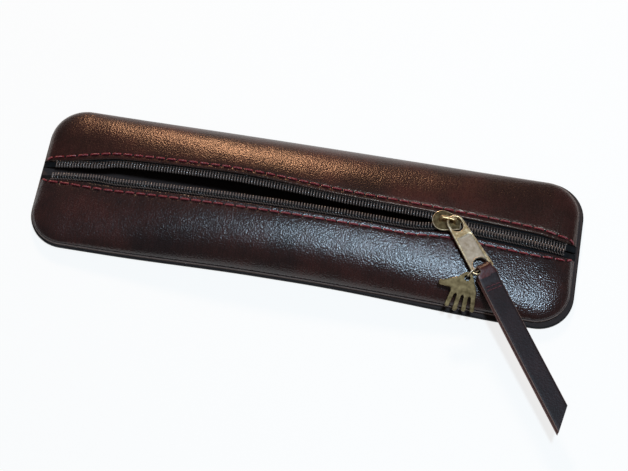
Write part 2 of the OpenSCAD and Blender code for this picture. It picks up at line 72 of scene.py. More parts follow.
MM = 0.001
NEAR, FAR = -1, 1
SIDES = {"near": NEAR, "far": FAR}

# ---------------------------------------------------------------- sizes, in millimetres

HALF_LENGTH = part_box("back_panel")[1].x / MM
HALF_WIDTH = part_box("back_panel")[1].y / MM
BACK_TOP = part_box("back_panel")[1].z / MM
CORNER = 14.0
FRONT_THICKNESS = 1.15
FLANGE_THICKNESS = 1.3
RIM_TOP = BACK_TOP + FLANGE_THICKNESS
FLANGE_INSET = 0.5
STEP_WIDTH = 0.9
ALLOWANCE = 4.6
# The near edge bows out towards both ends, the back panel more than the front
BACK_FLARE = 3.0
FRONT_FLARE = 1.7
OPEN_FLARE = 1.1
# The front panels end a little inside the back panel at the closed end
CLOSED_INSET = 1.2

# The chain lies on an arc along the case
ARC_RADIUS = 600.0
ARC_TOP = 14.2
ARC_CENTRE = ARC_TOP - ARC_RADIUS
# Past the slider's travel the chain leaves the arc on its tangent and dips a little more
TRAVEL_END = 86.0
END_DIP = 0.0062

COIL_PITCH = 1.1
WIRE_RADIUS = 0.21
TURN_WIDTH = 2.95
TURN_HEIGHT = 1.8
MESH_DEPTH = 0.35
ROW_CENTRE = TURN_WIDTH / 2 - MESH_DEPTH
TAPE_TOP = -TURN_HEIGHT / 2 - 0.02
TAPE_THICKNESS = 0.5
TAPE_REACH = 9.2
SOFT_GAP = 0.12
SLIDER_X = 53.0
MESH_START = SLIDER_X + 4.3
# Each row parts behind the slider: the near one at once, the far one a little there and fully where
# a pen passes
PARTING = {NEAR: 2.2, FAR: 3.4}
NEAR_OPENS = (MESH_START, MESH_START - 19)
FAR_FIRST_OPENS = (MESH_START, MESH_START - 10.3)
FAR_FIRST_SHARE = 0.28
FAR_OPENS = (SLIDER_X - 10, SLIDER_X - 93)
OPEN_END = (-93.0, -72.0)
END_SPREAD = 1.5
END_SPREADS = (-79.0, -91.0)
# The leather edges part with the rows and close in beyond the slider's last position
LIP_OFFSET = 3.75
LIP_PARTING = {NEAR: 1.6, FAR: 3.0}
LIP_OPENS = {NEAR: (SLIDER_X + 2, SLIDER_X - 15), FAR: (SLIDER_X - 30, SLIDER_X - 89)}
LIP_OPEN_END = (-HALF_LENGTH + 9, -HALF_LENGTH + 31)
LIP_SPREAD = 0.35
LIP_SQUEEZE = 0.55
LIP_SQUEEZES = (87.6, 96.0)
COIL_END = HALF_LENGTH - 5
TAPE_END = HALF_LENGTH - 0.4

RIM_STRAIGHT = HALF_LENGTH - CORNER
LIP_STRAIGHT = 86.0
LIP_CORNER = 95.0
LIP_END = HALF_LENGTH - 3.5
# At the closed end the front's rim draws in over this stretch of its length
DRAWN_IN = (RIM_STRAIGHT - 25, RIM_STRAIGHT)

STITCH_PITCH = 4.3
STITCH_LENGTH = 3.4
STITCH_RADIUS = 0.4
STITCH_INSET = 2.0
STITCH_LAY = 1.15


def smooth(t):
    """An even turn from 0 to 1."""
    t = min(1.0, max(0.0, t))
    return t * t * (3 - 2 * t)


def ramp(x, start, end):
    return smooth((x - start) / (end - start))


def bell(x, width):
    """1 at zero, falling smoothly on both sides."""
    return math.exp(-((x / width) ** 2))


def squared(value, power):
    """A sine or cosine whose circle is drawn out towards a square, with the value's own sign."""
    return math.copysign(abs(value) ** power, value)


def round_points(count):
    """(cosine, sine) at even steps round a circle."""
    angles = [math.tau * k / count for k in range(count)]
    return [(math.cos(a), math.sin(a)) for a in angles]


def arc_z(x):
    return ARC_CENTRE + math.sqrt(ARC_RADIUS ** 2 - x ** 2)


def chain_z(x):
    """The height of the chain's middle."""
    beyond = abs(x) - TRAVEL_END
    if beyond <= 0:
        return arc_z(x)
    slope = TRAVEL_END / math.sqrt(ARC_RADIUS ** 2 - TRAVEL_END ** 2)
    return arc_z(TRAVEL_END) - slope * beyond - END_DIP * beyond ** 2


def opened(side, x):
    """The share of its full parting that a row has, from 0 in the closed chain to 1."""
    if side == NEAR:
        return ramp(x, *NEAR_OPENS)
    return max(FAR_FIRST_SHARE * ramp(x, *FAR_FIRST_OPENS), ramp(x, *FAR_OPENS))


def parting(side, x):
    """How far a row of the coil stands from its closed place."""
    return PARTING[side] * opened(side, x) * ramp(x, *OPEN_END) + END_SPREAD * ramp(x, *END_SPREADS)


def edge_y(side, x, flare):
    """How far a long edge stands from the case's middle line."""
    if side == FAR:
        return HALF_WIDTH
    return HALF_WIDTH + flare * ramp(x, 0, RIM_STRAIGHT) + OPEN_FLARE * ramp(-x, 15, 75)


def row_y(side, x):
    return side * (ROW_CENTRE + parting(side, x))


def lip_y(side, x):
    """Where the leather's edge lies beside the zip."""
    apart = LIP_PARTING[side] * ramp(x, *LIP_OPENS[side]) * ramp(x, *LIP_OPEN_END)
    spread = LIP_OFFSET + apart + LIP_SPREAD * ramp(x, *END_SPREADS)
    return side * (spread - LIP_SQUEEZE * ramp(x, *LIP_SQUEEZES))


def lip_z(x):
    return chain_z(x) + TAPE_TOP + SOFT_GAP + FRONT_THICKNESS


# ---------------------------------------------------------------- meshes

# A ply's place and radius in a twisted thread, as shares of the thread's radius
PLY_OFFSET = 0.46
PLY_RADIUS = 0.6
# Edges between faces that meet at more than this stay sharp, in degrees
SHARP = 50
THREAD_SHARP = 60
STRAP_SHARP = 45


class Shape:
    """Points, faces and material numbers of one piece, in millimetres."""

    def __init__(self):
        self.points = []
        self.faces = []
        self.paints = []

    def face(self, corners, paint):
        self.faces.append(corners)
        self.paints.append(paint)

    def rings(self, rings, paint=0, closed=True, caps=True):
        """Joins rings of points. paint is one material number, or one for each point of a ring."""
        first = len(self.points)
        count = len(rings[0])
        for ring in rings:
            self.points.extend(Vector(p) for p in ring)
        paints = paint if isinstance(paint, (list, tuple)) else [paint] * count
        last = first + (len(rings) - 1) * count
        for a in range(first, last, count):
            b = a + count
            for j in range(count if closed else count - 1):
                k = (j + 1) % count
                self.face((a + j, a + k, b + k, b + j), paints[j])
        if caps and closed:
            self.face(tuple(range(first + count - 1, first - 1, -1)), paints[0])
            self.face(tuple(range(last, last + count)), paints[0])

    def tube(self, path, radius, sides=8, paint=0):
        """A round tube along a path. radius is one number or one for each point."""
        radii = radius if isinstance(radius, (list, tuple)) else [radius] * len(path)
        self.rings([
            [centre + across * (r * c) + up * (r * s) for c, s in round_points(sides)]
            for r, (centre, across, up) in zip(radii, frames(path))
        ], paint)

    def thread(self, path, radius, lay, plies=2):
        """A twisted thread: plies wound round the path, one turn for each lay millimetres."""
        placed = frames(path)
        for ply in range(plies):
            angle = math.tau * ply / plies
            strand = []
            for i, (centre, across, up) in enumerate(placed):
                if i:
                    angle += math.tau * (centre - placed[i - 1][0]).length / lay
                out = across * math.cos(angle) + up * math.sin(angle)
                strand.append(centre + out * radius * PLY_OFFSET)
            self.tube(strand, radius * PLY_RADIUS, 6)

    def piece(self, name, materials, smooth_below=SHARP, matrix=None):
        """The Blender object, shaded smooth except across sharp edges."""
        mesh = bpy.data.meshes.new(name)
        place = Matrix.Scale(MM, 4) @ (matrix or Matrix.Identity(4))
        mesh.from_pydata([place @ p for p in self.points], [], self.faces)
        for material in materials:
            mesh.materials.append(material)
        mesh.polygons.foreach_set("material_index", self.paints)
        outward = bmesh.new()
        outward.from_mesh(mesh)
        bmesh.ops.recalc_face_normals(outward, faces=outward.faces)
        outward.to_mesh(mesh)
        outward.free()
        mesh.shade_smooth()
        mesh.set_sharp_from_angle(angle=math.radians(smooth_below))
        made = bpy.data.objects.new(name, mesh)
        bpy.context.scene.collection.objects.link(made)
        return made


def frames(path):
    """(point, across, up) at each point of a path, turning as little as possible."""
    path = [Vector(p) for p in path]
    placed = []
    across = None
    for i, point in enumerate(path):
        along = (path[min(i + 1, len(path) - 1)] - path[max(i - 1, 0)]).normalized()
        if across is None:
            across = along.orthogonal().normalized()
        across = (across - along * across.dot(along)).normalized()
        placed.append((point, across, along.cross(across)))
    return placed


# The slopes of a plate's upper rounding, from its side to its flat, which takes a painted highlight
PAINTED_HIGHLIGHT_SLOPES = (0.2, 0.97)
PLATE_SHARP = 35


def plate(name, loops, low, high, materials, matrix, rounding, steps=2):
    """A flat plate with rounded edges from closed outlines: the first is its edge, and the rest are holes.
    A second material goes on the upper rounding, as a painted highlight."""
    data = bpy.data.curves.new(name, "CURVE")
    data.dimensions = "2D"
    data.fill_mode = "BOTH"
    data.extrude = ((high - low) / 2 - rounding) * MM
    data.bevel_depth = rounding * MM
    data.bevel_resolution = steps
    data.offset = -rounding * MM
    for outline in loops:
        spline = data.splines.new("POLY")
        spline.points.add(len(outline) - 1)
        for place, (x, y) in zip(spline.points, outline):
            place.co = (x * MM, y * MM, 0, 1)
        spline.use_cyclic_u = True
    holder = bpy.data.objects.new(name, data)
    bpy.context.scene.collection.objects.link(holder)
    bpy.context.view_layer.update()
    solid = holder.evaluated_get(bpy.context.evaluated_depsgraph_get())
    mesh = bpy.data.meshes.new_from_object(solid)
    bpy.data.objects.remove(holder)
    bpy.data.curves.remove(data)
    shift = Matrix.Translation((0, 0, (high + low) / 2))
    scale = Matrix.Scale(MM, 4)
    mesh.materials.clear()
    for material in materials:
        mesh.materials.append(material)
    side_slope, flat_slope = PAINTED_HIGHLIGHT_SLOPES
    for side in mesh.polygons:
        side.material_index = int(len(materials) > 1 and side_slope < side.normal.z < flat_slope)
    mesh.transform(scale @ matrix @ shift @ scale.inverted())
    mesh.shade_smooth()
    mesh.set_sharp_from_angle(angle=math.radians(PLATE_SHARP))
    made = bpy.data.objects.new(name, mesh)
    bpy.context.scene.collection.objects.link(made)
    return made


def arc(centre, radius, start, end, steps):
    """Points on a circle from one angle to another, in degrees."""
    turns = [math.radians(start + (end - start) * i / steps) for i in range(steps + 1)]
    return [(centre[0] + radius * math.cos(a), centre[1] + radius * math.sin(a)) for a in turns]


def joined(name, pieces):
    """One object from several."""
    first = pieces[0]
    with bpy.context.temp_override(
        active_object=first, object=first, selected_objects=pieces, selected_editable_objects=pieces
    ):
        bpy.ops.object.join()
    first.name = name
    first.data.name = name
    return first


def turned(x, y, z):
    """The turn about X, then Y, then Z, in degrees."""
    return (
        Matrix.Rotation(math.radians(z), 4, "Z")
        @ Matrix.Rotation(math.radians(y), 4, "Y")
        @ Matrix.Rotation(math.radians(x), 4, "X")
    )


def stand_in(made, node, body):
    """The piece stands for its CAD node, which it hides, and rides on the body."""
    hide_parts(node)
    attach(made, body)


# ---------------------------------------------------------------- materials


def linear(code):
    """A linear colour from an sRGB hex value."""
    values = [int(code[i:i + 2], 16) / 255 for i in (1, 3, 5)]
    return tuple(v / 12.92 if v <= 0.04045 else ((v + 0.055) / 1.055) ** 2.4 for v in values)


class Recipe:
    """A node material under construction."""

    def __init__(self, name, colour, roughness, metallic=0.0, **more):
        self.material = bpy.data.materials.new(name)
        self.material.use_nodes = True
        self.tree = self.material.node_tree
        self.shader = self.tree.nodes["Principled BSDF"]
        self.shader.inputs["Base Color"].default_value = (*colour, 1)
        self.shader.inputs["Roughness"].default_value = roughness
        self.shader.inputs["Metallic"].default_value = metallic
        for socket, value in more.items():
            self.shader.inputs[socket.replace("_", " ")].default_value = value
        self.place = self.add("ShaderNodeTexCoord", "Object")

    def add(self, kind, output, values=None, links=None, stops=(), **settings):
        """Adds a node with its settings, values, links and ramp stops, and gives the output named."""
        made = self.tree.nodes.new(kind)
        for name, value in settings.items():
            setattr(made, name, value)
        for socket, value in (values or {}).items():
            made.inputs[socket].default_value = value
        for socket, source in (links or {}).items():
            self.tree.links.new(source, made.inputs[socket])
        for i, (place, colour) in enumerate(stops):
            edges = made.color_ramp.elements
            edge = edges[i] if i < 2 else edges.new(place)
            edge.position = place
            edge.color = (*colour, 1)
        return made.outputs[output]

    def fibres(self, size, detail, uneven, stops, strength, depth):
        """Fibres size millimetres wide that vary the colour and stand depth millimetres proud."""
        pattern = self.add(
            "ShaderNodeTexNoise", "Fac", {"Scale": per_mm(size), "Detail": detail, "Roughness": uneven},
            {"Vector": self.place},
        )
        tone = self.add("ShaderNodeValToRGB", "Color", links={"Fac": pattern}, stops=stops)
        normal = self.add(
            "ShaderNodeBump", "Normal", {"Strength": strength, "Distance": depth * MM}, {"Height": pattern}
        )
        return self.shade(Base_Color=tone, Normal=normal)

    def shade(self, **sources):
        """Links outputs into the surface shader's sockets."""
        for socket, source in sources.items():
            self.tree.links.new(source, self.shader.inputs[socket.replace("_", " ")])
        return self.material


def per_mm(size):
    """The pattern scale for one cell or wave each size millimetres."""
    return 1 / (size * MM)


def grey(value):
    return (value, value, value)


# A Wave texture turns this many radians for each unit of its scale
WAVE_RADIANS = 20
# The colour sockets of a Mix node, which has others of the same names
MIXED, MIX_A, MIX_B = 2, 6, 7


def aniline_leather(name, colour, light, dark, relief, satin, **more):
    """Full-grain cowhide, drum-dyed and plated: a tight pebble grain that sparkles in the light, over a
    deep even dye. Pebbles are about 0.6 mm wide."""
    made = Recipe(name, colour, satin, **more)
    pebbles = made.add(
        "ShaderNodeTexVoronoi", "Distance", {"Scale": per_mm(0.62), "Smoothness": 0.4},
        {"Vector": made.place}, feature="SMOOTH_F1",
    )
    pores = made.add(
        "ShaderNodeTexNoise", "Fac", {"Scale": per_mm(0.55), "Detail": 4.0, "Roughness": 0.6},
        {"Vector": made.place},
    )
    # Short growth lines run across the case, the way the hide was cut
    across = made.add("ShaderNodeMapping", "Vector", {"Scale": (1, 0.16, 0.16)}, {"Vector": made.place})
    lines = made.add(
        "ShaderNodeTexNoise", "Fac", {"Scale": per_mm(0.55), "Detail": 3.0, "Roughness": 0.6},
        {"Vector": across},
    )
    # The dye takes a little deeper in slow clouds over the hide
    clouds = made.add(
        "ShaderNodeTexNoise", "Fac", {"Scale": per_mm(18), "Detail": 5.0, "Roughness": 0.55},
        {"Vector": made.place},
    )
    tone = made.add(
        "ShaderNodeValToRGB", "Color", links={"Fac": clouds},
        stops=[(0.36, dark), (0.66, light), (0.5, colour)],
    )
    streaks = made.add(
        "ShaderNodeValToRGB", "Color", links={"Fac": lines}, stops=[(0.34, grey(0.52)), (0.66, grey(1.0))]
    )
    mixed = made.add(
        "ShaderNodeMix", MIXED, {"Factor": 0.8}, {MIX_A: tone, MIX_B: streaks},
        data_type="RGBA", blend_type="MULTIPLY",
    )
    gloss = made.add(
        "ShaderNodeValToRGB", "Color", links={"Fac": pores},
        stops=[(0.3, grey(satin - 0.06)), (0.7, grey(satin + 0.06))],
    )
    normal = None
    for height, depth in ((pebbles, 0.068), (pores, 0.044), (lines, 0.026)):
        links = {"Height": height} if normal is None else {"Height": height, "Normal": normal}
        values = {"Strength": 1.0, "Distance": depth * relief * MM}
        normal = made.add("ShaderNodeBump", "Normal", values, links)
    return made.shade(Base_Color=mixed, Roughness=gloss, Normal=normal)


def cut_leather(name, colour, pale, **more):
    """The sliced edge of the hide: open fibres, pale and matt."""
    made = Recipe(name, colour, 0.75, **more)
    stops = [(0.3, colour), (0.68, pale)]
    return made.fibres(size=0.35, detail=5.0, uneven=0.7, stops=stops, strength=0.6, depth=0.12)


def flesh_side(name, colour, pale):
    """The hide's inner side, left unfinished: a short dark nap."""
    made = Recipe(name, colour, 0.92, Sheen_Weight=0.25, Sheen_Roughness=0.5)
    stops = [(0.3, colour), (0.75, pale)]
    return made.fibres(size=0.6, detail=5.0, uneven=0.7, stops=stops, strength=0.5, depth=0.15)


def bonded_thread(name, colour, pale, roughness, **more):
    """Bonded polyester thread: fine filaments in each ply, glued together, with a soft shine."""
    made = Recipe(name, colour, roughness, **more)
    stops = [(0.32, colour), (0.7, pale)]
    return made.fibres(size=0.16, detail=3.0, uneven=0.6, stops=stops, strength=0.4, depth=0.04)


def woven_tape(name, colour, pale):
    """Polyester zip tape, woven: matt, with ribs across the tape crossed by the warp. A real rib is about
    0.5 mm, and both are drawn six times as wide to show."""
    made = Recipe(name, colour, 0.9, Specular_IOR_Level=0.25)
    ribs = [
        made.add(
            "ShaderNodeTexWave", "Fac",
            {"Scale": per_mm(0.5) / WAVE_RADIANS, "Distortion": 0.6, "Detail": 1.0},
            {"Vector": made.place}, bands_direction=way,
        )
        for way in "XY"
    ]
    weave = made.add("ShaderNodeMath", "Value", None, {0: ribs[0], 1: ribs[1]}, operation="MULTIPLY")
    tone = made.add("ShaderNodeValToRGB", "Color", links={"Fac": weave}, stops=[(0.1, colour), (0.9, pale)])
    normal = made.add(
        "ShaderNodeBump", "Normal", {"Strength": 0.6, "Distance": 0.12 * MM}, {"Height": weave}
    )
    return made.shade(Base_Color=tone, Normal=normal)


def drawn_nylon(name, colour, roughness):
    """Drawn nylon monofilament: smooth and glossy, with faint drawing lines."""
    made = Recipe(name, colour, roughness, IOR=1.53, Coat_Weight=0.3, Coat_Roughness=0.2)
    lines = made.add(
        "ShaderNodeTexNoise", "Fac", {"Scale": per_mm(0.5), "Detail": 3.0}, {"Vector": made.place}
    )
    gloss = made.add(
        "ShaderNodeValToRGB", "Color", links={"Fac": lines},
        stops=[(0.3, grey(roughness - 0.08)), (0.7, grey(roughness + 0.1))],
    )
    normal = made.add(
        "ShaderNodeBump", "Normal", {"Strength": 0.12, "Distance": 0.03 * MM}, {"Height": lines}
    )
    return made.shade(Roughness=gloss, Normal=normal)


def antique_brass(name, colour, dark, pale, roughness, relief=1.0, metallic=1.0):
    """Zinc casting with antique brass plating: a satin metal with a cloudy patina. The pieces use a darker
    one in hollows, a paler one for the jump ring, and paler ones as painted highlights on upper roundings
    and raised lips."""
    made = Recipe(name, colour, roughness, metallic)
    patina = made.add(
        "ShaderNodeTexNoise", "Fac", {"Scale": per_mm(1.6), "Detail": 5.0, "Roughness": 0.62},
        {"Vector": made.place},
    )
    grain = made.add(
        "ShaderNodeTexNoise", "Fac", {"Scale": per_mm(0.4), "Detail": 3.0, "Roughness": 0.6},
        {"Vector": made.place},
    )
    tone = made.add(
        "ShaderNodeValToRGB", "Color", links={"Fac": patina}, stops=[(0.3, dark), (0.7, pale), (0.5, colour)]
    )
    polish = made.add(
        "ShaderNodeValToRGB", "Color", links={"Fac": grain},
        stops=[(0.3, grey(roughness - 0.08)), (0.7, grey(roughness + 0.1))],
    )
    normal = made.add(
        "ShaderNodeBump", "Normal", {"Strength": 1.0, "Distance": 0.012 * relief * MM}, {"Height": grain}
    )
    return made.shade(Base_Color=tone, Roughness=polish, Normal=normal)


# How much of the floor's look is plain white, and the rest is lit paint that takes the shadow
WHITE_SHARE = 0.8


def painted_floor(name, colour):
    """Matt white paint that shows the camera a plain white and keeps a soft shadow of the object."""
    made = Recipe(name, colour, 0.9)
    seen = made.add("ShaderNodeLightPath", "Is Camera Ray")
    rays = seen.node.outputs
    for kind in ("Is Glossy Ray", "Is Transmission Ray"):
        seen = made.add("ShaderNodeMath", "Value", None, {0: seen, 1: rays[kind]}, operation="MAXIMUM")
    share = made.add("ShaderNodeMath", "Value", {1: WHITE_SHARE}, {0: seen}, operation="MULTIPLY")
    white = made.add("ShaderNodeEmission", "Emission", {"Color": (1, 1, 1, 1), "Strength": 1.0})
    lit = made.shader.outputs["BSDF"]
    both = made.add("ShaderNodeMixShader", "Shader", None, {0: share, 1: lit, 2: white})
    made.tree.links.new(both, made.tree.nodes["Material Output"].inputs["Surface"])
    return made.material


# Each finish: its recipe, its material's name, its colours and its settings. A colour is an sRGB hex value
# or the name of one in the panel.
FINISHES = {
    "leather": (
        aniline_leather, "aniline_leather", ("leather", "#3b1b17", "#211010"), dict(relief=1.4, satin=0.26)),
    # The far panel is the same leather as the near one: its warmer colours and warm specular tint are
    # painted warm light, a lit copy for the warm sheen on that side
    "leather_far": (
        aniline_leather, "aniline_leather_painted_warm_light", ("leather_far", "#3f1c19", "#231010"),
        dict(relief=1.0, satin=0.29, Specular_Tint=(*linear("#ffe0c8"), 1))),
    "strap_leather": (
        aniline_leather, "aniline_leather_strap", ("strap", "#2b1b1c", "#160d0e"),
        dict(relief=0.6, satin=0.46, Specular_IOR_Level=0.17)),
    "strap_fold": (
        aniline_leather, "aniline_leather_fold", ("#431512", "#5e1f1a", "#280d0c"),
        dict(relief=0.5, satin=0.34, Specular_IOR_Level=0.3)),
    "cut_edge": (cut_leather, "cut_leather", ("#46322a", "#7c665b"), {}),
    "dark_edge": (cut_leather, "cut_leather_dark", ("#1d1110", "#3a2520"), {}),
    "dyed_edge": (cut_leather, "dyed_leather_edge", ("#45201a", "#76483c"), {}),
    # Black edge paint, made darker still as painted shade for the shadow under the back panel's edge
    "black_edge_and_painted_shade": (
        cut_leather, "edge_paint_and_painted_shade", ("#0b0909", "#151112"), dict(Specular_IOR_Level=0.25)),
    "flesh": (flesh_side, "leather_flesh_side", ("#1e1513", "#342522"), {}),
    "tape": (woven_tape, "woven_polyester_tape", ("nylon", "#131214"), {}),
    # The coil is black nylon: its light grey-brown colour is painted highlight standing in for the shine on
    # its turns
    "coil": (drawn_nylon, "drawn_nylon_coil_painted_sheen", ("coil",), dict(roughness=0.2)),
    "black_thread": (
        bonded_thread, "bonded_black_thread", ("#060506", "#100e0f"),
        dict(roughness=0.7, Specular_IOR_Level=0.2)),
    "red_thread": (
        bonded_thread, "bonded_red_thread", ("thread", "#8c252c"),
        dict(roughness=0.36, Specular_IOR_Level=0.75)),
    "strap_thread": (bonded_thread, "bonded_red_thread_dark", ("#481820", "#632a30"), dict(roughness=0.5)),
    "brass": (antique_brass, "antique_brass", ("brass", "#3d301e", "#7a6748"), dict(roughness=0.36)),
    "worn_brass": (
        antique_brass, "worn_brass", ("#b8986e", "#94764e", "#dcc29c"),
        dict(roughness=0.33, relief=0.6, metallic=0.85)),
    # Pale, partly diffuse brass: the jump ring's colour, and painted highlight on the plates' upper
    # roundings and the tab's lip
    "pale_brass_and_painted_highlight": (
        antique_brass, "pale_brass_and_painted_highlight", ("#dcc4a2", "#bc9f7a", "#f2e2cb"),
        dict(roughness=0.26, relief=0.3, metallic=0.5)),
    "cast_brass": (antique_brass, "cast_brass", ("#998571", "#84705a", "#ad9a86"), dict(roughness=0.5)),
    "olive_brass": (antique_brass, "olive_brass", ("#4f402b", "#352a19", "#66553b"), dict(roughness=0.5)),
    # The charm's paler upper rounding is painted highlight
    "olive_painted_highlight": (
        antique_brass, "olive_brass_painted_highlight", ("#948360", "#706144", "#b3a583"),
        dict(roughness=0.36, relief=0.3)),
    "floor": (painted_floor, "white_floor_paint", ("#fdfaf4",), {}),
}
MADE = {}


def finish(name):
    """A material by its finish, made once."""
    if name not in MADE:
        recipe, title, codes, settings = FINISHES[name]
        tones = bpy.context.scene.pen_case_colours
        colours = [linear(code) if code[0] == "#" else getattr(tones, code) for code in codes]
        MADE[name] = recipe(title, *colours, **settings)
    return MADE[name]


def finishes(*names):
    return [finish(name) for name in names]


# ---------------------------------------------------------------- leather


def end_inset(sign):
    """How much shorter than the back the front is, at one end of the case."""
    return CLOSED_INSET if sign > 0 else 0.0


def drawn_in(x):
    """How far the front's rim draws in from the closed end of the back panel."""
    return CLOSED_INSET * ramp(x, *DRAWN_IN)


def lip_x(place):
    """Where a station meets the lip.
    A station is (sign, share of the front, turn round the corner in degrees, share of the end)."""
    sign, front, turn, end = place
    end_run = LIP_END - end_inset(sign) - LIP_CORNER
    return sign * (LIP_STRAIGHT * front + (LIP_CORNER - LIP_STRAIGHT) * turn / 90 + end_run * end)


def section_line(side, place):
    """The lip point, the rim point, the direction from rim to lip and its length at a station."""
    sign, front, turn, end = place
    radius = CORNER - FLANGE_INSET
    angle = math.radians(turn)
    rim_x = sign * (RIM_STRAIGHT * front + radius * math.sin(angle))
    hub = edge_y(side, rim_x, FRONT_FLARE) - CORNER
    rim_y = hub + radius * math.cos(angle) - (hub - abs(lip_y(side, sign * LIP_END))) * end
    rim = Vector((rim_x - drawn_in(rim_x), side * rim_y))
    x = lip_x(place)
    lip = Vector((x, lip_y(side, x)))
    return lip, rim, (lip - rim).normalized(), (lip - rim).length


def station_at(x):
    """The station whose lip lies at x."""
    across = abs(x)
    sign = -1 if x < 0 else 1
    if across < LIP_STRAIGHT:
        return (sign, across / LIP_STRAIGHT, 0, 0)
    if across < LIP_CORNER:
        return (sign, 1, 90 * (across - LIP_STRAIGHT) / (LIP_CORNER - LIP_STRAIGHT), 0)
    return (sign, 1, 90, (across - LIP_CORNER) / (LIP_END - end_inset(sign) - LIP_CORNER))


VALLEY_WIDTH = 0.75
PUCKER_WIDTH = 1.1


def pressed(x, inset):
    """How deep the stitch row pulls the leather down, deepest at each needle hole."""
    phase = math.cos(math.tau * (x + STITCH_PITCH / 2 - STITCH_LENGTH / 2) / STITCH_PITCH)
    sizes = bpy.context.scene.pen_case_sizes
    valley = sizes.seam_valley / MM * bell(inset - STITCH_INSET, VALLEY_WIDTH)
    return valley + sizes.pucker / MM * (0.5 - 0.5 * phase) * bell(inset - STITCH_INSET, PUCKER_WIDTH)


def swell(side, x, y, inset):
    """The slight unevenness of a dome formed by hand, none at the lip."""
    slow = noise.noise(Vector((x / 26, y / 15, 3.7 * side)))
    quick = noise.noise(Vector((x / 11, y / 8, 8.1 * side)))
    height = bpy.context.scene.pen_case_sizes.hand_finish / MM
    return height * (slow + 0.5 * quick) * smooth((inset - 1) / 6)


DOME_FOOT = RIM_TOP + 0.1


def dome_height(x, t):
    """The dome's height over a quarter turn, from its foot at the rim to the lip."""
    return DOME_FOOT + (lip_z(x) - DOME_FOOT) * math.sin(t)


def on_dome(side, place, inset, lift=0.0):
    """A point on the dome's leather, measured from the lip towards the rim."""
    lip, _, along, reach = section_line(side, place)
    spot = lip - along * inset
    t = math.acos(min(1.0, inset / (reach - STEP_WIDTH)))
    x = lip_x(place)
    z = dome_height(x, t) - pressed(x, inset) + swell(side, spot.x, spot.y, inset)
    return Vector((spot.x, spot.y, z + lift))


DOME_STEPS = 30
LIP_STEPS = 14
INNER_STEPS = 10
# Where the dome meets the flat rim, and where it rolls over into the lip
FOOT_FILLET = 0.45
LIP_BAND = 3.4
LIP_ROLL = 0.16
# The materials of a front panel, by number
GRAIN, CUT, FLESH, DYED = 0, 1, 2, 3


def panel_ring(side, place):
    """One section of a front panel, from under the rim, over the dome and back inside.
    It gives the points and each point's material number."""
    lip, rim, along, reach = section_line(side, place)
    x = lip_x(place)
    dome = reach - STEP_WIDTH
    points, paints = [], []

    def put(distance, z, paint):
        spot = rim + along * distance
        points.append((spot.x, spot.y, z))
        paints.append(paint)

    # Up the cut edge and over its small rounding onto the flat rim
    put(0.06, BACK_TOP + 0.02, DYED)
    put(0.0, BACK_TOP + 0.2, DYED)
    put(0.0, RIM_TOP - 0.34, CUT)
    put(0.05, RIM_TOP - 0.09, CUT)
    put(0.28, RIM_TOP, DYED)
    put(STEP_WIDTH * 0.75, RIM_TOP + 0.02, GRAIN)
    # Close to the lip the steps follow the stitch row, and the rest of the dome is shared evenly by angle
    lip_band = min(LIP_BAND, dome * 0.45)
    last_angle = math.acos(lip_band / dome)
    for i in range(1, DOME_STEPS + 1):
        t = last_angle * i / DOME_STEPS
        inset = dome * math.cos(t)
        fillet = FOOT_FILLET * (1 - smooth(t / 0.5))
        spot = lip - along * inset
        lift = swell(side, spot.x, spot.y, inset) - pressed(x, inset)
        put(reach - inset - fillet, dome_height(x, t) + lift * smooth(t / 0.6), GRAIN)
    for i in range(1, LIP_STEPS + 1):
        inset = LIP_ROLL + (lip_band - LIP_ROLL) * (1 - i / LIP_STEPS)
        t = math.acos(inset / dome)
        spot = lip - along * inset
        z = dome_height(x, t) - pressed(x, inset) + swell(side, spot.x, spot.y, inset)
        put(reach - inset, z - 0.06 * bell(inset - 0.1, 0.25), GRAIN)
    # Down the cut lip
    top, low = lip_z(x), lip_z(x) - FRONT_THICKNESS
    put(reach - 0.03, top - LIP_ROLL, CUT)
    put(reach, top - 0.34, CUT)
    put(reach, low + 0.2, CUT)
    put(reach - 0.1, low + 0.02, FLESH)
    # Back inside under the dome, and over the seam allowance, which is narrower at the two ends
    hollow_start = STEP_WIDTH + FRONT_THICKNESS
    hollow = reach - hollow_start
    for i in range(INNER_STEPS, 0, -1):
        t = math.pi / 2 * i / (INNER_STEPS + 0.4)
        put(hollow_start + hollow * (1 - math.cos(t)), DOME_FOOT + (low - DOME_FOOT) * math.sin(t), FLESH)
    put(hollow_start + 0.1, RIM_TOP, FLESH)
    allowance = min(ALLOWANCE, 0.86 * reach)
    put(allowance, RIM_TOP - 0.02, CUT)
    put(allowance, BACK_TOP + 0.02, CUT)
    return points, paints


FRONT_STEPS = 190
CORNER_STEPS = 16
END_STEPS = 8


def stations():
    """Stations along a front panel from the open end to the closed end."""
    end = [(1, 90, i / END_STEPS) for i in range(END_STEPS, 0, -1)]
    end += [(1, 90 * i / CORNER_STEPS, 0) for i in range(CORNER_STEPS, 0, -1)]
    front = [2 * i / FRONT_STEPS - 1 for i in range(FRONT_STEPS + 1)]
    return (
        [(-1, *place) for place in end]
        + [(-1 if share < 0 else 1, abs(share), 0, 0) for share in front]
        + [(1, *place) for place in reversed(end)]
    )


def front_panel(side_name):
    """A domed strip of leather from the rim up to the zip, with its seam allowance turned in below."""
    side = SIDES[side_name]
    sections = [panel_ring(side, place) for place in stations()]
    rings = [points for points, _ in sections]
    shape = Shape()
    shape.rings(rings if side == NEAR else rings[::-1], sections[0][1])
    # The far panel takes a warmer lit copy of the leather, as painted warm light
    leather = "leather" if side == NEAR else "leather_far"
    made = shape.piece(
        f"front_panel_{side_name}_leather", finishes(leather, "cut_edge", "flesh", "dark_edge"))
    stand_in(made, f"front_panel_{side_name}", "case")


EDGE_STEPS = 20


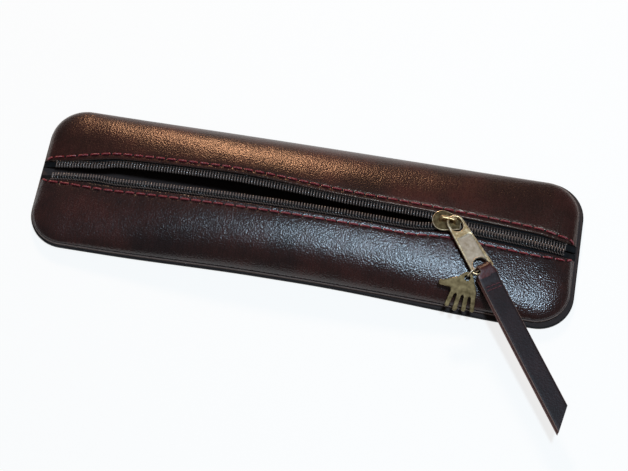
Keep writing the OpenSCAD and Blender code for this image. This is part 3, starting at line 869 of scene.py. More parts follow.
def case_outline(inset, flare, steps=14):
    """The outline inside the case's edge, counter-clockwise from the near edge."""
    near = [RIM_STRAIGHT * (i / EDGE_STEPS - 1) for i in range(1, 2 * EDGE_STEPS)]
    points = [(x, inset - edge_y(NEAR, x, flare)) for x in near]
    for sx, side, start in ((1, NEAR, 270), (1, FAR, 0), (-1, FAR, 90), (-1, NEAR, 180)):
        hub_x = sx * RIM_STRAIGHT
        hub = (hub_x, side * (edge_y(side, hub_x, flare) - CORNER))
        points += arc(hub, CORNER - inset, start, start + 90, steps)
    return points


def back_panel():
    """A flat piece of leather: the grain below, the flesh inside and a painted, rounded edge, whose black
    edge paint is darkened further as painted shade for the shadow under the edge.
    """
    grain, edge, flesh = 0, 1, 2
    # (distance inside the outline, height, material up to the next level)
    levels = [
        (3.0, 0.0, grain), (0.45, 0.0, grain), (0.12, 0.1, edge), (0.0, 0.34, edge),
        (0.0, BACK_TOP - 0.3, edge), (0.1, BACK_TOP - 0.08, edge), (0.35, BACK_TOP, flesh),
        (6.0, BACK_TOP, flesh),
    ]
    rings = [[(x, y, z) for x, y in case_outline(inset, BACK_FLARE)] for inset, z, _ in levels]
    count = len(rings[0])
    last = (len(levels) - 1) * count
    shape = Shape()
    shape.rings(rings, caps=False)
    shape.paints = [paint for _, _, paint in levels[:-1] for _ in range(count)]
    shape.face(tuple(range(count - 1, -1, -1)), grain)
    shape.face(tuple(range(last, last + count)), flesh)
    made = shape.piece("back_panel_leather", finishes("leather", "black_edge_and_painted_shade", "flesh"))
    stand_in(made, "back_panel", "case")


# ---------------------------------------------------------------- stitching


STITCH_STEPS = 12
STITCH_ARCH = 0.05
# A stitch dips into its needle holes over this share of its length at each end
STITCH_DIP = 0.09
STITCH_END = HALF_LENGTH - 5
# Black pieces in the gaps between stitches are painted shade for the needle holes: their radii and how far
# they sink
NEEDLE_HOLE_SHADE_RADII = [0.2, 0.34, 0.2]
NEEDLE_HOLE_SHADE_DEPTH = 0.02
TACK_RAISED = 0.2

SEAM_PITCH = 4.0
SEAM_LENGTH = 2.9
SEAM_RADIUS = 0.24
SEAM_INSET = FLANGE_INSET + STEP_WIDTH + FRONT_THICKNESS + 0.78
# The zip's ends cross the short sides of the case within this distance of its middle, with no seam there
SEAM_END = 8


def lockstitch(shape, start, end, radius, sink=0.45):
    """One stitch: the thread comes out of its needle hole, lies on the leather and goes in again."""
    start, end = Vector(start), Vector(end)
    path = []
    for i in range(STITCH_STEPS + 1):
        t = i / STITCH_STEPS
        dip = sink * (bell(t, STITCH_DIP) + bell(1 - t, STITCH_DIP))
        rise = STITCH_ARCH * math.sin(math.pi * t)
        path.append(start + (end - start) * t + Vector((0, 0, rise - dip)))
    shape.thread(path, radius, STITCH_LAY)


def panel_stitching(side_name):
    """A row of red stitches along the lip, with a black piece of painted shade at the needle hole between
    each two.
    """
    side = SIDES[side_name]
    count = math.floor(2 * STITCH_END / STITCH_PITCH)
    gap = STITCH_PITCH - STITCH_LENGTH
    shape = Shape()
    for i in range(count):
        x = -count * STITCH_PITCH / 2 + i * STITCH_PITCH
        ends = []
        for at in (x, x + STITCH_LENGTH):
            inset = STITCH_INSET + 0.05 * noise.noise(Vector((at, side, 0)))
            ends.append(on_dome(side, station_at(at), inset, STITCH_RADIUS * 0.75))
        lockstitch(shape, *ends, STITCH_RADIUS)
        # A black piece across the gap is painted shade for the needle hole
        if i:
            places = [x - gap * share for share in (0.95, 0.5, 0.05)]
            hole = [on_dome(side, station_at(at), STITCH_INSET, -NEEDLE_HOLE_SHADE_DEPTH) for at in places]
            shape.tube(hole, NEEDLE_HOLE_SHADE_RADII, paint=1)
    made = shape.piece(
        f"panel_stitching_{side_name}_thread", finishes("red_thread", "black_thread"), THREAD_SHARP)
    stand_in(made, f"panel_stitching_{side_name}", "case")


def end_tacks():
    """The last stitch of each row turns the corner and lies across the end of its panel."""
    shape = Shape()
    lift = STITCH_RADIUS + TACK_RAISED
    for side in (NEAR, FAR):
        for sign in (-1, 1):
            ends = [on_dome(side, (sign, 1, 90, share), STITCH_INSET, lift) for share in (0.96, 0.74)]
            lockstitch(shape, *ends, STITCH_RADIUS)
    made = shape.piece("end_tacks_thread", finishes("red_thread"), THREAD_SHARP)
    stand_in(made, "end_tacks", "case")


def rim_seam():
    """The hidden seam in the allowance: straight runs and round corners of black lockstitch."""
    outline = [Vector((x, y)) for x, y in case_outline(SEAM_INSET, FRONT_FLARE, 24)]
    shape = Shape()
    travelled, next_end = 0.0, 0.0
    start = None
    for a, b in zip(outline, outline[1:] + outline[:1]):
        step = (b - a).length
        while travelled + step > next_end:
            spot = a + (b - a) * ((next_end - travelled) / step)
            if start is None:
                start = spot
                next_end += SEAM_LENGTH
                continue
            if abs(start.x) < HALF_LENGTH - SEAM_INSET - 0.5 or abs(start.y) > SEAM_END:
                ends = [(q.x - drawn_in(q.x), q.y, RIM_TOP + SEAM_RADIUS) for q in (start, spot)]
                lockstitch(shape, *ends, SEAM_RADIUS, 0.3)
            start = None
            next_end += SEAM_PITCH - SEAM_LENGTH
        travelled += step
    made = shape.piece("rim_seam_thread", finishes("black_thread"), THREAD_SHARP)
    stand_in(made, "rim_seam", "case")


# ---------------------------------------------------------------- zip

# Each row is made in stretches: (from x, to x, the place where it stays on the case, the place where it
# moves with the row).
ROW_SPLIT = -42.0
HELD = (SLIDER_X - 39, MESH_START - 10.3)
# A far stretch that stands a little open all along has its places far below and above
HELD_SHARE = 0.35
FAR_AWAY = 1000
STRETCHES = {
    "near": {
        "open_end": (-HALF_LENGTH, ROW_SPLIT, (OPEN_END[0], 0, 0), (OPEN_END[1], 0, 0)),
        "middle": (ROW_SPLIT, HALF_LENGTH, (NEAR_OPENS[0], 0, 0), (NEAR_OPENS[1], 0, 0)),
    },
    "far": {
        "open_end": (-HALF_LENGTH, ROW_SPLIT, (OPEN_END[0], 0, 0), (OPEN_END[1], 0, 0)),
        "pen_side": (ROW_SPLIT, HELD[0], (FAR_OPENS[0], 0, 0), (FAR_OPENS[1], 0, 0)),
        "middle": (*HELD, (0, 0, -HELD_SHARE * FAR_AWAY), (0, 0, (1 - HELD_SHARE) * FAR_AWAY)),
        "closed_end": (HELD[1], HALF_LENGTH, (MESH_START, 0, 0), (MESH_START - 29.4, 0, 0)),
    },
}


def stretch_range(side_name, stretch, end):
    """Where a stretch of a zip half starts and ends along the case."""
    low, high = STRETCHES[side_name][stretch][:2]
    return max(low, -end), min(high, end)


def zip_piece(shape, kind, side_name, stretch, material, smooth_below=THREAD_SHARP):
    """Makes the piece in place and hides the CAD part of its row."""
    made = shape.piece(f"{kind}_{side_name}_{stretch}", finishes(material), smooth_below)
    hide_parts(f"{kind}_{side_name}")
    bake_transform(made)


def coil_turns(side):
    """Where each turn of a row stands along the case. The rows stand half a turn apart."""
    count = math.floor(2 * COIL_END / COIL_PITCH)
    stagger = 0 if side == NEAR else COIL_PITCH / 2
    return [(i - count / 2) * COIL_PITCH + stagger for i in range(count)]


TURN_STEPS = 18
# The wire passes on to the next turn at the back of the coil, past this angle from its head
PASS_ON = 125
# The wire is thicker at the head, by this share and over about this angle each way
HEAD_SWELL = 0.24
HEAD_SPAN = 48


def coil(side_name, stretch):
    """Each turn runs in under the filler cord, round its head at the centre line and back over the top."""
    side = SIDES[side_name]
    low, high = stretch_range(side_name, stretch, HALF_LENGTH)
    reach = (TURN_WIDTH - 2 * WIRE_RADIUS) / 2
    rise = (TURN_HEIGHT - 2 * WIRE_RADIUS) / 2
    path, radii = [], []
    for centre in (x for x in coil_turns(side) if low <= x < high):
        for k in range(TURN_STEPS):
            angle = -180 + 360 * k / TURN_STEPS
            c, s = math.cos(math.radians(angle)), math.sin(math.radians(angle))
            back = COIL_PITCH / 2 * smooth((abs(angle) - PASS_ON) / (180 - PASS_ON))
            x = centre + math.copysign(back, angle)
            y = row_y(side, x) - side * reach * squared(c, 0.62)
            path.append((x, y, chain_z(x) + rise * squared(s, 0.8)))
            radii.append(WIRE_RADIUS * (1 + HEAD_SWELL * bell(angle, HEAD_SPAN)))
    shape = Shape()
    shape.tube(path, radii)
    zip_piece(shape, "coil", side_name, stretch, "coil")


def row_path(side_name, stretch, across, above, step=0.35, ripple=0.0):
    """A line along a row, at a place across and above the row's centre, that dips between the turns."""
    side = SIDES[side_name]
    low, high = stretch_range(side_name, stretch, COIL_END - 1)
    count = round((high - low) / step)
    first = coil_turns(side)[0]
    points = []
    for i in range(count + 1):
        x = low + (high - low) * i / count
        wave = ripple * math.cos(math.tau * (x - first) / COIL_PITCH)
        points.append((x, row_y(side, x) + side * across, chain_z(x) + above + wave))
    return points


def filler_cord(side_name, stretch):
    """The cord that the turns are wound on: three plies that fill the coil."""
    shape = Shape()
    radius = TURN_HEIGHT / 2 - 2 * WIRE_RADIUS - 0.05
    shape.thread(row_path(side_name, stretch, 0, 0), radius, lay=1.6, plies=3)
    zip_piece(shape, "filler_cord", side_name, stretch, "black_thread")


CHAIN_THREAD = 0.15
CHAIN_LINES = (TURN_WIDTH / 4 - 0.22, TURN_WIDTH / 4 + 0.3)


def coil_stitching(side_name, stretch):
    """Two lines of chain stitch hold the turns to the tape, each pressed down between the turns."""
    shape = Shape()
    for across in CHAIN_LINES:
        path = row_path(side_name, stretch, across, TURN_HEIGHT / 2 - 0.03, step=0.23, ripple=0.1)
        shape.thread(path, CHAIN_THREAD, lay=0.9)
    zip_piece(shape, "coil_stitching", side_name, stretch, "black_thread")


# The tape narrows between these places so that it ends between the panels
TAPE_FULL = HALF_LENGTH - 25
TAPE_NARROW = HALF_LENGTH - 9
TAPE_STEPS = 7
TAPE_DROP = 0.62
TAPE_SAG = 0.05
TAPE_STEP_LENGTH = 1.2
TAPE_HIDDEN = 0.25
TAPE_LEAST = 2.9
TAPE_HEM = 0.08


def tape_ring(side, x):
    """One section of a tape, from the centre line out under the leather and back below."""
    z = chain_z(x) + TAPE_TOP
    apart = parting(side, x)
    hidden = abs(lip_y(side, x)) - TAPE_HIDDEN
    wide = 1 - ramp(abs(x), TAPE_FULL, TAPE_NARROW)
    reach = hidden + (TAPE_REACH - hidden) * wide
    shift = min(apart, apart * wide + (hidden - TAPE_LEAST) * (1 - wide))
    edge, outer = MESH_DEPTH + apart, reach + shift * wide
    drop = TAPE_DROP * wide
    top = []
    for i in range(TAPE_STEPS + 1):
        share = i / TAPE_STEPS
        sag = -drop * share ** 2.4 - TAPE_SAG * math.sin(math.pi * share)
        top.append((edge + (outer - edge) * share, sag))
    under = [(across, sag - TAPE_THICKNESS) for across, sag in reversed(top)]
    hem = [(outer + TAPE_HEM * wide, -drop - TAPE_THICKNESS / 2)]
    return [(x, side * across, z + sag) for across, sag in top + hem + under]


def zipper_tape(side_name, stretch):
    """One side's tape, from the turns out under the leather."""
    side = SIDES[side_name]
    low, high = stretch_range(side_name, stretch, TAPE_END)
    high = min(high, TAPE_END - CLOSED_INSET)
    count = round((high - low) / TAPE_STEP_LENGTH)
    rings = [tape_ring(side, low + (high - low) * i / count) for i in range(count + 1)]
    shape = Shape()
    shape.rings(rings if side == NEAR else rings[::-1])
    zip_piece(shape, "zipper_tape", side_name, stretch, "tape", SHARP)


# ---------------------------------------------------------------- metal parts

# The slider's place on the arc. Its sizes are along the chain, across it and up from it.
ON_CHAIN = (
    Matrix.Translation((0, 0, ARC_CENTRE))
    @ Matrix.Rotation(math.asin(SLIDER_X / ARC_RADIUS), 4, "Y")
    @ Matrix.Translation((0, 0, ARC_RADIUS))
)
TOP_PLATE = 1.36
PLATE_THICKNESS = 1.0
PLATE_TOP = TOP_PLATE + PLATE_THICKNESS
BOTTOM_PLATE = -2.54
FRONT_X, REAR_X = -5.5, 5.5
# (radius of the round front, half width of the back) of the two plates
TOP_SHAPE = (4.15, 2.5)
BOTTOM_SHAPE = (3.7, 3.3)
POST_HUB = -4.75
POST_RADIUS = 0.4
POST_REAR = (-3.75, 0.34)
RAIL_INNER = 3.1
RAIL_THICKNESS = 0.5
RAIL_FRONT, RAIL_REAR = -0.2, 4.1
RAIL_LOW, RAIL_HIGH = -0.8, TOP_PLATE + 0.12
BRIDGE_FRONT, BRIDGE_REAR = -2.3, 2.9
BRIDGE_FOOT = 1.1
BRIDGE_CLEAR = 2.3
BRIDGE_BEAM = 1.0
BRIDGE_HALF = 0.65
BRIDGE_ROUND = 1.1
BRIDGE_UNDER_ROUND = 0.4

# The tab lies from the bridge down over the near side
TAB_PLACE = (3.25, -0.9, 3.41)
TAB_PITCH, TAB_YAW = 2, -51
ON_TAB = ON_CHAIN @ Matrix.Translation(TAB_PLACE) @ turned(0, TAB_PITCH, TAB_YAW)
TAB_THICKNESS = 1.4
UPPER_HOLE = 2.45
UPPER_STRAIGHT = 1.1
RING_WIDTH = 0.85
TAB_LENGTH = 19.0
TAB_HALF = 4.5
LOWER_HOLE = 3.15
LOWER_STRAIGHT = 1.25
BAR_WIDTH = 1.5
CORNER_CLIP = 1.15
PANEL_START = 6.0
PANEL_NEAR, PANEL_FAR = 2.85, 3.8
PANEL_DEPTH = 0.35
BAR_X = TAB_LENGTH + LOWER_STRAIGHT + BAR_WIDTH / 2
# The raised lip of the lower opening: how far outside its edge, and half of its width and height
LOWER_LIP = (0.22, 0.26, 0.62)

STRAP_THICKNESS = 1.25
STRAP_WIDTH = 7.8
STRAP_LENGTH = 67.0
STRAP_YAW = 4.5
# The loop's radius round the bar, to the middle of the strip, and the strip's narrow width there
LOOP_MIDDLE = 1.851
LOOP_LOW, LOOP_HIGH = -2.1, 2.95
FOLD_LENGTH = 6.5
ON_STRAP = ON_TAB @ Matrix.Translation((BAR_X, 0, 0)) @ turned(0, -TAB_PITCH, 0)

# The ring goes round the tab's side, beside its lower opening
RING_RADIUS = 2.1
RING_WIRE = 0.28
RING_PLACE = (19.5, -3.825, 0)
RING_OUT = 0.728
RING_DROP, RING_YAW = 32, 14
ON_RING = (
    ON_TAB
    @ Matrix.Translation(RING_PLACE)
    @ turned(RING_DROP, 0, RING_YAW)
    @ Matrix.Translation((0, -RING_OUT, 0))
)

# The charm hangs from the ring's outer side, with its hole at its own origin and its fingers along +X
CHARM_PITCH, CHARM_YAW = 15, -58
CHARM_HANG = 0.62
ON_CHARM = (
    ON_RING
    @ Matrix.Translation((0, -RING_RADIUS, 0))
    @ turned(-RING_DROP, 0, 0)
    @ turned(0, CHARM_PITCH, CHARM_YAW)
    @ Matrix.Translation((CHARM_HANG, 0, 0))
)
CHARM_THICKNESS = 0.9
CHARM_HOLE = 1.1
CHARM_RIM = 1.15
PALM_LENGTH = 6.5
PALM_HALF = 4.85
FINGER_WIDTH = 1.7
FINGER_PITCH = 2.6
FINGER_FAN = 6
FINGER_REACH = (6.4, 7.2, 6.6, 6.1)
THUMB_TIP = (4.1, -8.9)
THUMB_RADIUS = 1.05


def mirrored(points):
    """The points from the near side with those of the far side, in order round the outline."""
    return points + [(x, -y) for x, y in reversed(points)]


def plate_outline(lobe, rear):
    """Round in front and tapered behind, with clipped rear corners, counter-clockwise."""
    hub = FRONT_X + lobe
    side = [
        (hub + 1.2, -lobe + 0.15), (REAR_X - 0.5, -rear - 0.12), (REAR_X - 0.12, -rear + 0.15),
        (REAR_X, -rear + 0.5),
    ]
    return arc((hub, 0), lobe, 90, 270, 40) + mirrored(side)


def slider_body():
    """Two cast plates joined by a post in front, with a rail under the top plate on each side."""
    brass = finishes("brass")
    # The top plate's upper rounding takes a painted highlight
    top = plate(
        "slider_top_plate", [plate_outline(*TOP_SHAPE)], TOP_PLATE, PLATE_TOP,
        finishes("brass", "pale_brass_and_painted_highlight"), ON_CHAIN, rounding=0.32, steps=4,
    )
    bottom = plate(
        "slider_bottom_plate", [plate_outline(*BOTTOM_SHAPE)], BOTTOM_PLATE, BOTTOM_PLATE + PLATE_THICKNESS,
        brass, ON_CHAIN, rounding=0.25, steps=3,
    )
    # The post is a rounded wedge that parts the rows
    rear_x, rear_y = POST_REAR
    wedge = arc((POST_HUB, 0), POST_RADIUS, 90, 270, 12) + mirrored([(rear_x, -rear_y)])
    sunk = PLATE_THICKNESS / 2
    post = plate(
        "slider_post", [wedge], BOTTOM_PLATE + sunk, TOP_PLATE + sunk, brass, ON_CHAIN, rounding=0.08)
    rails = []
    for side in (NEAR, FAR):
        low, high = sorted((side * RAIL_INNER, side * (RAIL_INNER + RAIL_THICKNESS)))
        outline = [(RAIL_FRONT, low), (RAIL_REAR, low), (RAIL_REAR, high), (RAIL_FRONT, high)]
        rails.append(plate(
            "slider_rail", [outline], RAIL_LOW, RAIL_HIGH, brass, ON_CHAIN, rounding=0.12, steps=3))
    made = joined("slider_body_brass", [top, bottom, post, *rails])
    stand_in(made, "slider_body", "slider")


FOOT_STEPS = 7
BEND_STEPS = 10
BEAM_STEPS = 8
# How far the bridge's feet spread onto the plate, along it and across it, and how high up
FOOT_SPREAD = (0.22, 0.25)
FOOT_HEIGHT = 0.4


def slider_bridge():
    """The arched bridge that holds the tab, with rounded faces and feet that spread onto the plate."""
    middle = (BRIDGE_FRONT + BRIDGE_REAR) / 2
    outer_half = (BRIDGE_REAR - BRIDGE_FRONT + BRIDGE_FOOT) / 2
    inner_half = outer_half - BRIDGE_FOOT
    top = PLATE_TOP + BRIDGE_CLEAR + BRIDGE_BEAM
    under = top - BRIDGE_BEAM
    small = BRIDGE_UNDER_ROUND
    # Pairs of (outer, inner) points of the arch: up the front foot, round the bend and along the beam
    pairs = []
    for i in range(FOOT_STEPS + 1):
        z = PLATE_TOP - 0.12 + (under - small - PLATE_TOP + 0.12) * i / FOOT_STEPS
        spread = FOOT_SPREAD[0] * bell(z - PLATE_TOP, FOOT_HEIGHT)
        pairs.append(((-outer_half - spread, z), (-inner_half + spread, z)))
    for i in range(1, BEND_STEPS + 1):
        a = math.radians(180 - 90 * i / BEND_STEPS)
        outer = (-outer_half + BRIDGE_ROUND * (1 + math.cos(a)), top - BRIDGE_ROUND * (1 - math.sin(a)))
        inner = (-inner_half + small * (1 + math.cos(a)), under - small * (1 - math.sin(a)))
        pairs.append((outer, inner))
    flat = outer_half - BRIDGE_ROUND
    beam = [
        ((-flat + 2 * flat * i / BEAM_STEPS, top), ((-inner_half + small) * (1 - 2 * i / BEAM_STEPS), under))
        for i in range(1, BEAM_STEPS)
    ]
    pairs += beam + [((-outer[0], outer[1]), (-inner[0], inner[1])) for outer, inner in reversed(pairs)]
    rings = []
    for outer, inner in pairs:
        outer, inner = Vector(outer), Vector(inner)
        centre, reach = (outer + inner) / 2, (outer - inner) / 2
        half = BRIDGE_HALF + FOOT_SPREAD[1] * bell(centre.y - PLATE_TOP, FOOT_HEIGHT)
        ring = []
        for c, s in round_points(20):
            spot = centre + reach * squared(c, 0.55)
            ring.append((middle + spot.x, half * squared(s, 0.55), spot.y))
        rings.append(ring)
    shape = Shape()
    shape.rings(rings)
    made = shape.piece("slider_bridge_brass", finishes("worn_brass"), matrix=ON_CHAIN)
    stand_in(made, "slider_bridge", "slider")


def tab_frame():
    """The tab's rim: a ring at the bridge, and an open frame down to the strap's bar."""
    outer = UPPER_HOLE + RING_WIDTH
    tab_end = BAR_X + BAR_WIDTH / 2
    clip = -TAB_HALF + CORNER_CLIP
    outline = arc((0, 0), outer, 90, 270, 40) + mirrored([
        (TAB_LENGTH + 1.5, -TAB_HALF), (tab_end - 0.6, -TAB_HALF + CORNER_CLIP / 2),
        (tab_end - 0.1, clip - 0.15), (tab_end, clip + 0.15),
    ])
    upper = arc((0, 0), UPPER_HOLE, 90, 270, 24) + arc((UPPER_STRAIGHT, 0), UPPER_HOLE, -90, 90, 24)
    bar_inside = BAR_X - BAR_WIDTH / 2
    opening = mirrored([
        (PANEL_START + 0.35, -PANEL_NEAR), (TAB_LENGTH - 0.9, -PANEL_FAR + 0.06),
        (TAB_LENGTH - 0.25, -PANEL_FAR + 0.3), (TAB_LENGTH + 0.3, -LOWER_HOLE - 0.02),
        (bar_inside - 0.3, -LOWER_HOLE), (bar_inside, -LOWER_HOLE + 0.3),
    ])
    opening += [(PANEL_START, PANEL_NEAR - 0.35), (PANEL_START, -PANEL_NEAR + 0.35)]
    # The frame's upper rounding takes a painted highlight
    return plate(
        "tab_frame", [outline, upper[::-1], opening[::-1]], -TAB_THICKNESS / 2, TAB_THICKNESS / 2,
        finishes("worn_brass", "pale_brass_and_painted_highlight"), ON_TAB, rounding=0.36, steps=4,
    )


def tab_panel():
    """The sunken cast panel, cut round by the lower opening."""
    half = TAB_THICKNESS / 2 - PANEL_DEPTH
    outline = [(PANEL_START - 0.3, -PANEL_NEAR - 0.3), (TAB_LENGTH, -PANEL_FAR - 0.3)]
    outline += arc((TAB_LENGTH, 0), LOWER_HOLE, 90, 270, 32)[::-1]
    outline += [(TAB_LENGTH, PANEL_FAR + 0.3), (PANEL_START - 0.3, PANEL_NEAR + 0.3)]
    return plate("tab_panel", [outline], -half, half, finishes("cast_brass"), ON_TAB, rounding=0.1)


def tab_lip():
    """A raised lip round the lower opening, pale all over as a painted highlight."""
    out, half_width, half_height = LOWER_LIP
    rings = []
    for x, y in arc((TAB_LENGTH, 0), LOWER_HOLE + out, 92, 268, 40):
        centre = Vector((x, y, 0))
        outwards = (centre - Vector((TAB_LENGTH, 0, 0))).normalized()
        rings.append([
            centre + outwards * (half_width * c) + Vector((0, 0, half_height * s))
            for c, s in round_points(16)
        ])
    shape = Shape()
    shape.rings(rings)
    return shape.piece("tab_lip", finishes("pale_brass_and_painted_highlight"), matrix=ON_TAB)


def pull_tab():
    made = joined("pull_tab_brass", [tab_frame(), tab_panel(), tab_lip()])
    stand_in(made, "pull_tab", "pull_tab")


WIRE_STEPS = 64
# The ring's split in degrees, where it lies round the ring, and how far its ends stand apart sideways
SPLIT, SPLIT_AT, SPLIT_STEP = 4, -60, 0.05


def jump_ring():
    """Bent wire with its two ends meeting at a fine split."""
    path = []
    for i in range(WIRE_STEPS + 1):
        share = i / WIRE_STEPS
        a = math.radians(SPLIT / 2 + (360 - SPLIT) * i / WIRE_STEPS + SPLIT_AT)
        path.append((SPLIT_STEP * (share - 0.5), RING_RADIUS * math.cos(a), RING_RADIUS * math.sin(a)))
    shape = Shape()
    shape.tube(path, RING_WIRE, sides=14)
    made = shape.piece("jump_ring_brass", finishes("pale_brass_and_painted_highlight"), matrix=ON_RING)
    stand_in(made, "jump_ring", "jump_ring")


def hand_outline():
    """A small open hand, counter-clockwise from the wrist past the thumb and the four fingers."""
    wrist = arc((0, 0), CHARM_HOLE + CHARM_RIM, 118, 236, 20)
    tip = Vector(THUMB_TIP)
    points = wrist + [(0.4, -3.4), (0.95, -4.6)]
    points += arc(tip, THUMB_RADIUS, 172, 362, 14)
    points += [(4.95, -5.6), (5.2, -5.15), (PALM_LENGTH - 0.5, -PALM_HALF)]
    for k, reach in enumerate(FINGER_REACH):
        place = (
            Matrix.Translation((PALM_LENGTH - 0.6, (k - 1.5) * FINGER_PITCH, 0))
            @ Matrix.Rotation(math.radians((k - 1.5) * FINGER_FAN), 4, "Z")
        )
        half = FINGER_WIDTH / 2
        finger = [(1.0, -half)] + arc((reach - half, 0), half, -90, 90, 12) + [(1.0, half)]
        points += [tuple((place @ Vector((x, y, 0))).xy) for x, y in finger]
        if k < len(FINGER_REACH) - 1:
            points.append((PALM_LENGTH + 0.08, (k - 1) * FINGER_PITCH))
    points += [(PALM_LENGTH - 0.3, PALM_HALF), (4.6, 4.62), (3, 4.1), (0.9, 3.0)]
    return points


def hand_charm():
    """A cast hand with a painted highlight on the upper rounding of its edges. Its palm is bare."""
    hole = arc((0, 0), CHARM_HOLE, 0, 345, 23)
    made = plate(
        "hand_charm_brass", [hand_outline(), hole[::-1]], -CHARM_THICKNESS / 2, CHARM_THICKNESS / 2,
        finishes("olive_brass", "olive_painted_highlight"), ON_CHARM, rounding=0.16, steps=3,
    )
    stand_in(made, "hand_charm", "charm")


# ---------------------------------------------------------------- strap


RUN_STEPS = 26
CURVE_STEPS = 14
LOOP_STEPS = 16
WIDTH_STEPS = 8
STRAP_ROUND = 0.2
# The lower layer is this much wider on one edge, where it shows beside the upper one
LAYER_STEP = 0.35


def strap_spine():
    """The middle of the strip, from tip to tip round the bar.
    Each point is (x, z, normal x, normal z, share of the straight run)."""
    half = STRAP_THICKNESS / 2
    rise = LOOP_MIDDLE - half
    spine = [(FOLD_LENGTH, half, 0.0, 1.0, 1 - i / RUN_STEPS) for i in range(RUN_STEPS)]
    for i in range(CURVE_STEPS + 1):
        t = i / CURVE_STEPS
        slope = -rise * 6 * t * (1 - t) / FOLD_LENGTH
        length = math.hypot(1, slope)
        spine.append((FOLD_LENGTH * (1 - t), half + rise * smooth(t), -slope / length, 1 / length, 0.0))
    back = [(x, -z, nx, -nz, share) for x, z, nx, nz, share in reversed(spine)]
    for i in range(1, LOOP_STEPS):
        a = math.radians(90 + 180 * i / LOOP_STEPS)
        c, s = math.cos(a), math.sin(a)
        spine.append((LOOP_MIDDLE * c, LOOP_MIDDLE * s, c, s, 0.0))
    return spine + back


def strap_profile(low, high):
    """(across, offset from the middle) round the strip's section, with rounded edges."""
    half, edge = STRAP_THICKNESS / 2, STRAP_ROUND
    width = high - low - 2 * edge
    across = [low + edge + width * i / WIDTH_STEPS for i in range(WIDTH_STEPS + 1)]
    return [
        *((y, half) for y in across), (high - 0.05, half - 0.06), (high, half - edge), (high, -half + edge),
        *((y, -half) for y in reversed(across)), (low, -half + edge), (low, half - edge),
        (low + 0.05, half - 0.06),
    ]


def pull_strap():
    """One strip folded round the tab's bar, narrow in the fold, with both layers cut together at the tip."""
    rings = []
    for x, z, nx, nz, share in strap_spine():
        wide = smooth((x - 0.5) / 1.6)
        low = LOOP_LOW + (-STRAP_WIDTH / 2 - LOOP_LOW) * wide
        high = LOOP_HIGH + (STRAP_WIDTH / 2 - LOOP_HIGH) * wide
        if z < 0:
            low -= LAYER_STEP * smooth((x - 2.5) / 8 + share)
        yaw = math.radians(-STRAP_YAW * wide)
        ring = []
        for y, off in strap_profile(low, high):
            # The tip is cut aslant, and the straight run waves a little up and down
            along = x + nx * off + share * (STRAP_LENGTH - FOLD_LENGTH - (y + STRAP_WIDTH / 2))
            wave = 0.1 * math.sin(along / 9) * smooth(share * 4) * (1 - share)
            ring.append((
                along * math.cos(yaw) - y * math.sin(yaw),
                along * math.sin(yaw) + y * math.cos(yaw),
                z + nz * off + wave,
            ))
        rings.append(ring)
    grain, dyed, pale, rubbed = 0, 1, 2, 3
    face = [grain] * WIDTH_STEPS
    shape = Shape()
    shape.rings(rings, [*face, pale, pale, dyed, dyed, *face, dyed, dyed, pale, pale])
    shape.paints[-2:] = [dyed, dyed]
    # The turn round the bar is rubbed smooth, and the hide's red shows through the dye
    for i, corners in enumerate(shape.faces):
        middle = sum(shape.points[k].x for k in corners) / len(corners)
        if shape.paints[i] == grain and middle < FOLD_LENGTH / 2:
            shape.paints[i] = rubbed
    made = shape.piece(
        "pull_strap_leather", finishes("strap_leather", "dyed_edge", "cut_edge", "strap_fold"), STRAP_SHARP,
        ON_STRAP,
    )
    stand_in(made, "pull_strap", "strap")


CROSS_ROWS = (FOLD_LENGTH + 0.6, FOLD_LENGTH + 2)
CROSS_HALF = STRAP_WIDTH / 2 - 0.7
CROSS_RADIUS = 0.2
CROSS_STEPS = 10


def strap_stitching():
    """Two rows of three stitches across the strap, on both of its faces, close the fold."""
    shape = Shape()
    for x in CROSS_ROWS:
        for face in (-1, 1):
            z = face * (STRAP_THICKNESS + CROSS_RADIUS * 0.7)
            for k in (-1, 0, 1):
                y = k * 2 * CROSS_HALF / 3
                start, end = (Vector((x, y + way * (CROSS_HALF / 3 - 0.2), z)) for way in (-1, 1))
                path = []
                for i in range(CROSS_STEPS + 1):
                    t = i / CROSS_STEPS
                    dip = 0.3 * (bell(t, 0.1) + bell(1 - t, 0.1))
                    path.append(start.lerp(end, t) - Vector((0, 0, face * dip)))
                shape.thread(path, CROSS_RADIUS, lay=0.9)
    place = ON_STRAP @ turned(0, 0, -STRAP_YAW)
    made = shape.piece("strap_stitching_thread", finishes("strap_thread"), THREAD_SHARP, place)
    stand_in(made, "strap_stitching", "strap")


# ---------------------------------------------------------------- stage


# The camera's angles round the object and above the floor in degrees, and its other sizes in metres
CAMERA_AZIMUTH, CAMERA_ELEVATION = 9.91, 65.02
CAMERA_DISTANCE = 0.6522
CAMERA_TARGET = (0.00398, -0.00808, 0)
CAMERA_LENS, CAMERA_SENSOR = 97.45, 36
CAMERA_CLIP = 0.01
# (name, place, size, watts, colour) of the soft lamps, which face the middle of the case
LAMPS = (
    ("cool_key", (0.195, -0.05, 1.0), (0.13, 0.11), 8.6, (0.6, 0.81, 1.0)),
    ("warm_back", (-0.2, 0.84, 0.46), (0.18, 0.09), 4.6, (1.0, 0.64, 0.41)),
)
FLOOR_HALF = 20000
FLOOR_STEPS = 4
FLOOR_Z = -0.02


def aimed(name, data, place, towards):
    """A lamp or camera at a place in metres, looking along a direction."""
    made = bpy.data.objects.new(name, data)
    made.location = place
    made.rotation_euler = towards.to_track_quat("-Z", "Y").to_euler()
    bpy.context.scene.collection.objects.link(made)
    return made


def lamp(name, place, size, power, colour):
    data = bpy.data.lights.new(name, "AREA")
    data.shape = "RECTANGLE"
    data.size, data.size_y = size
    data.energy = power
    data.color = colour
    aimed(name, data, place, -Vector(place))


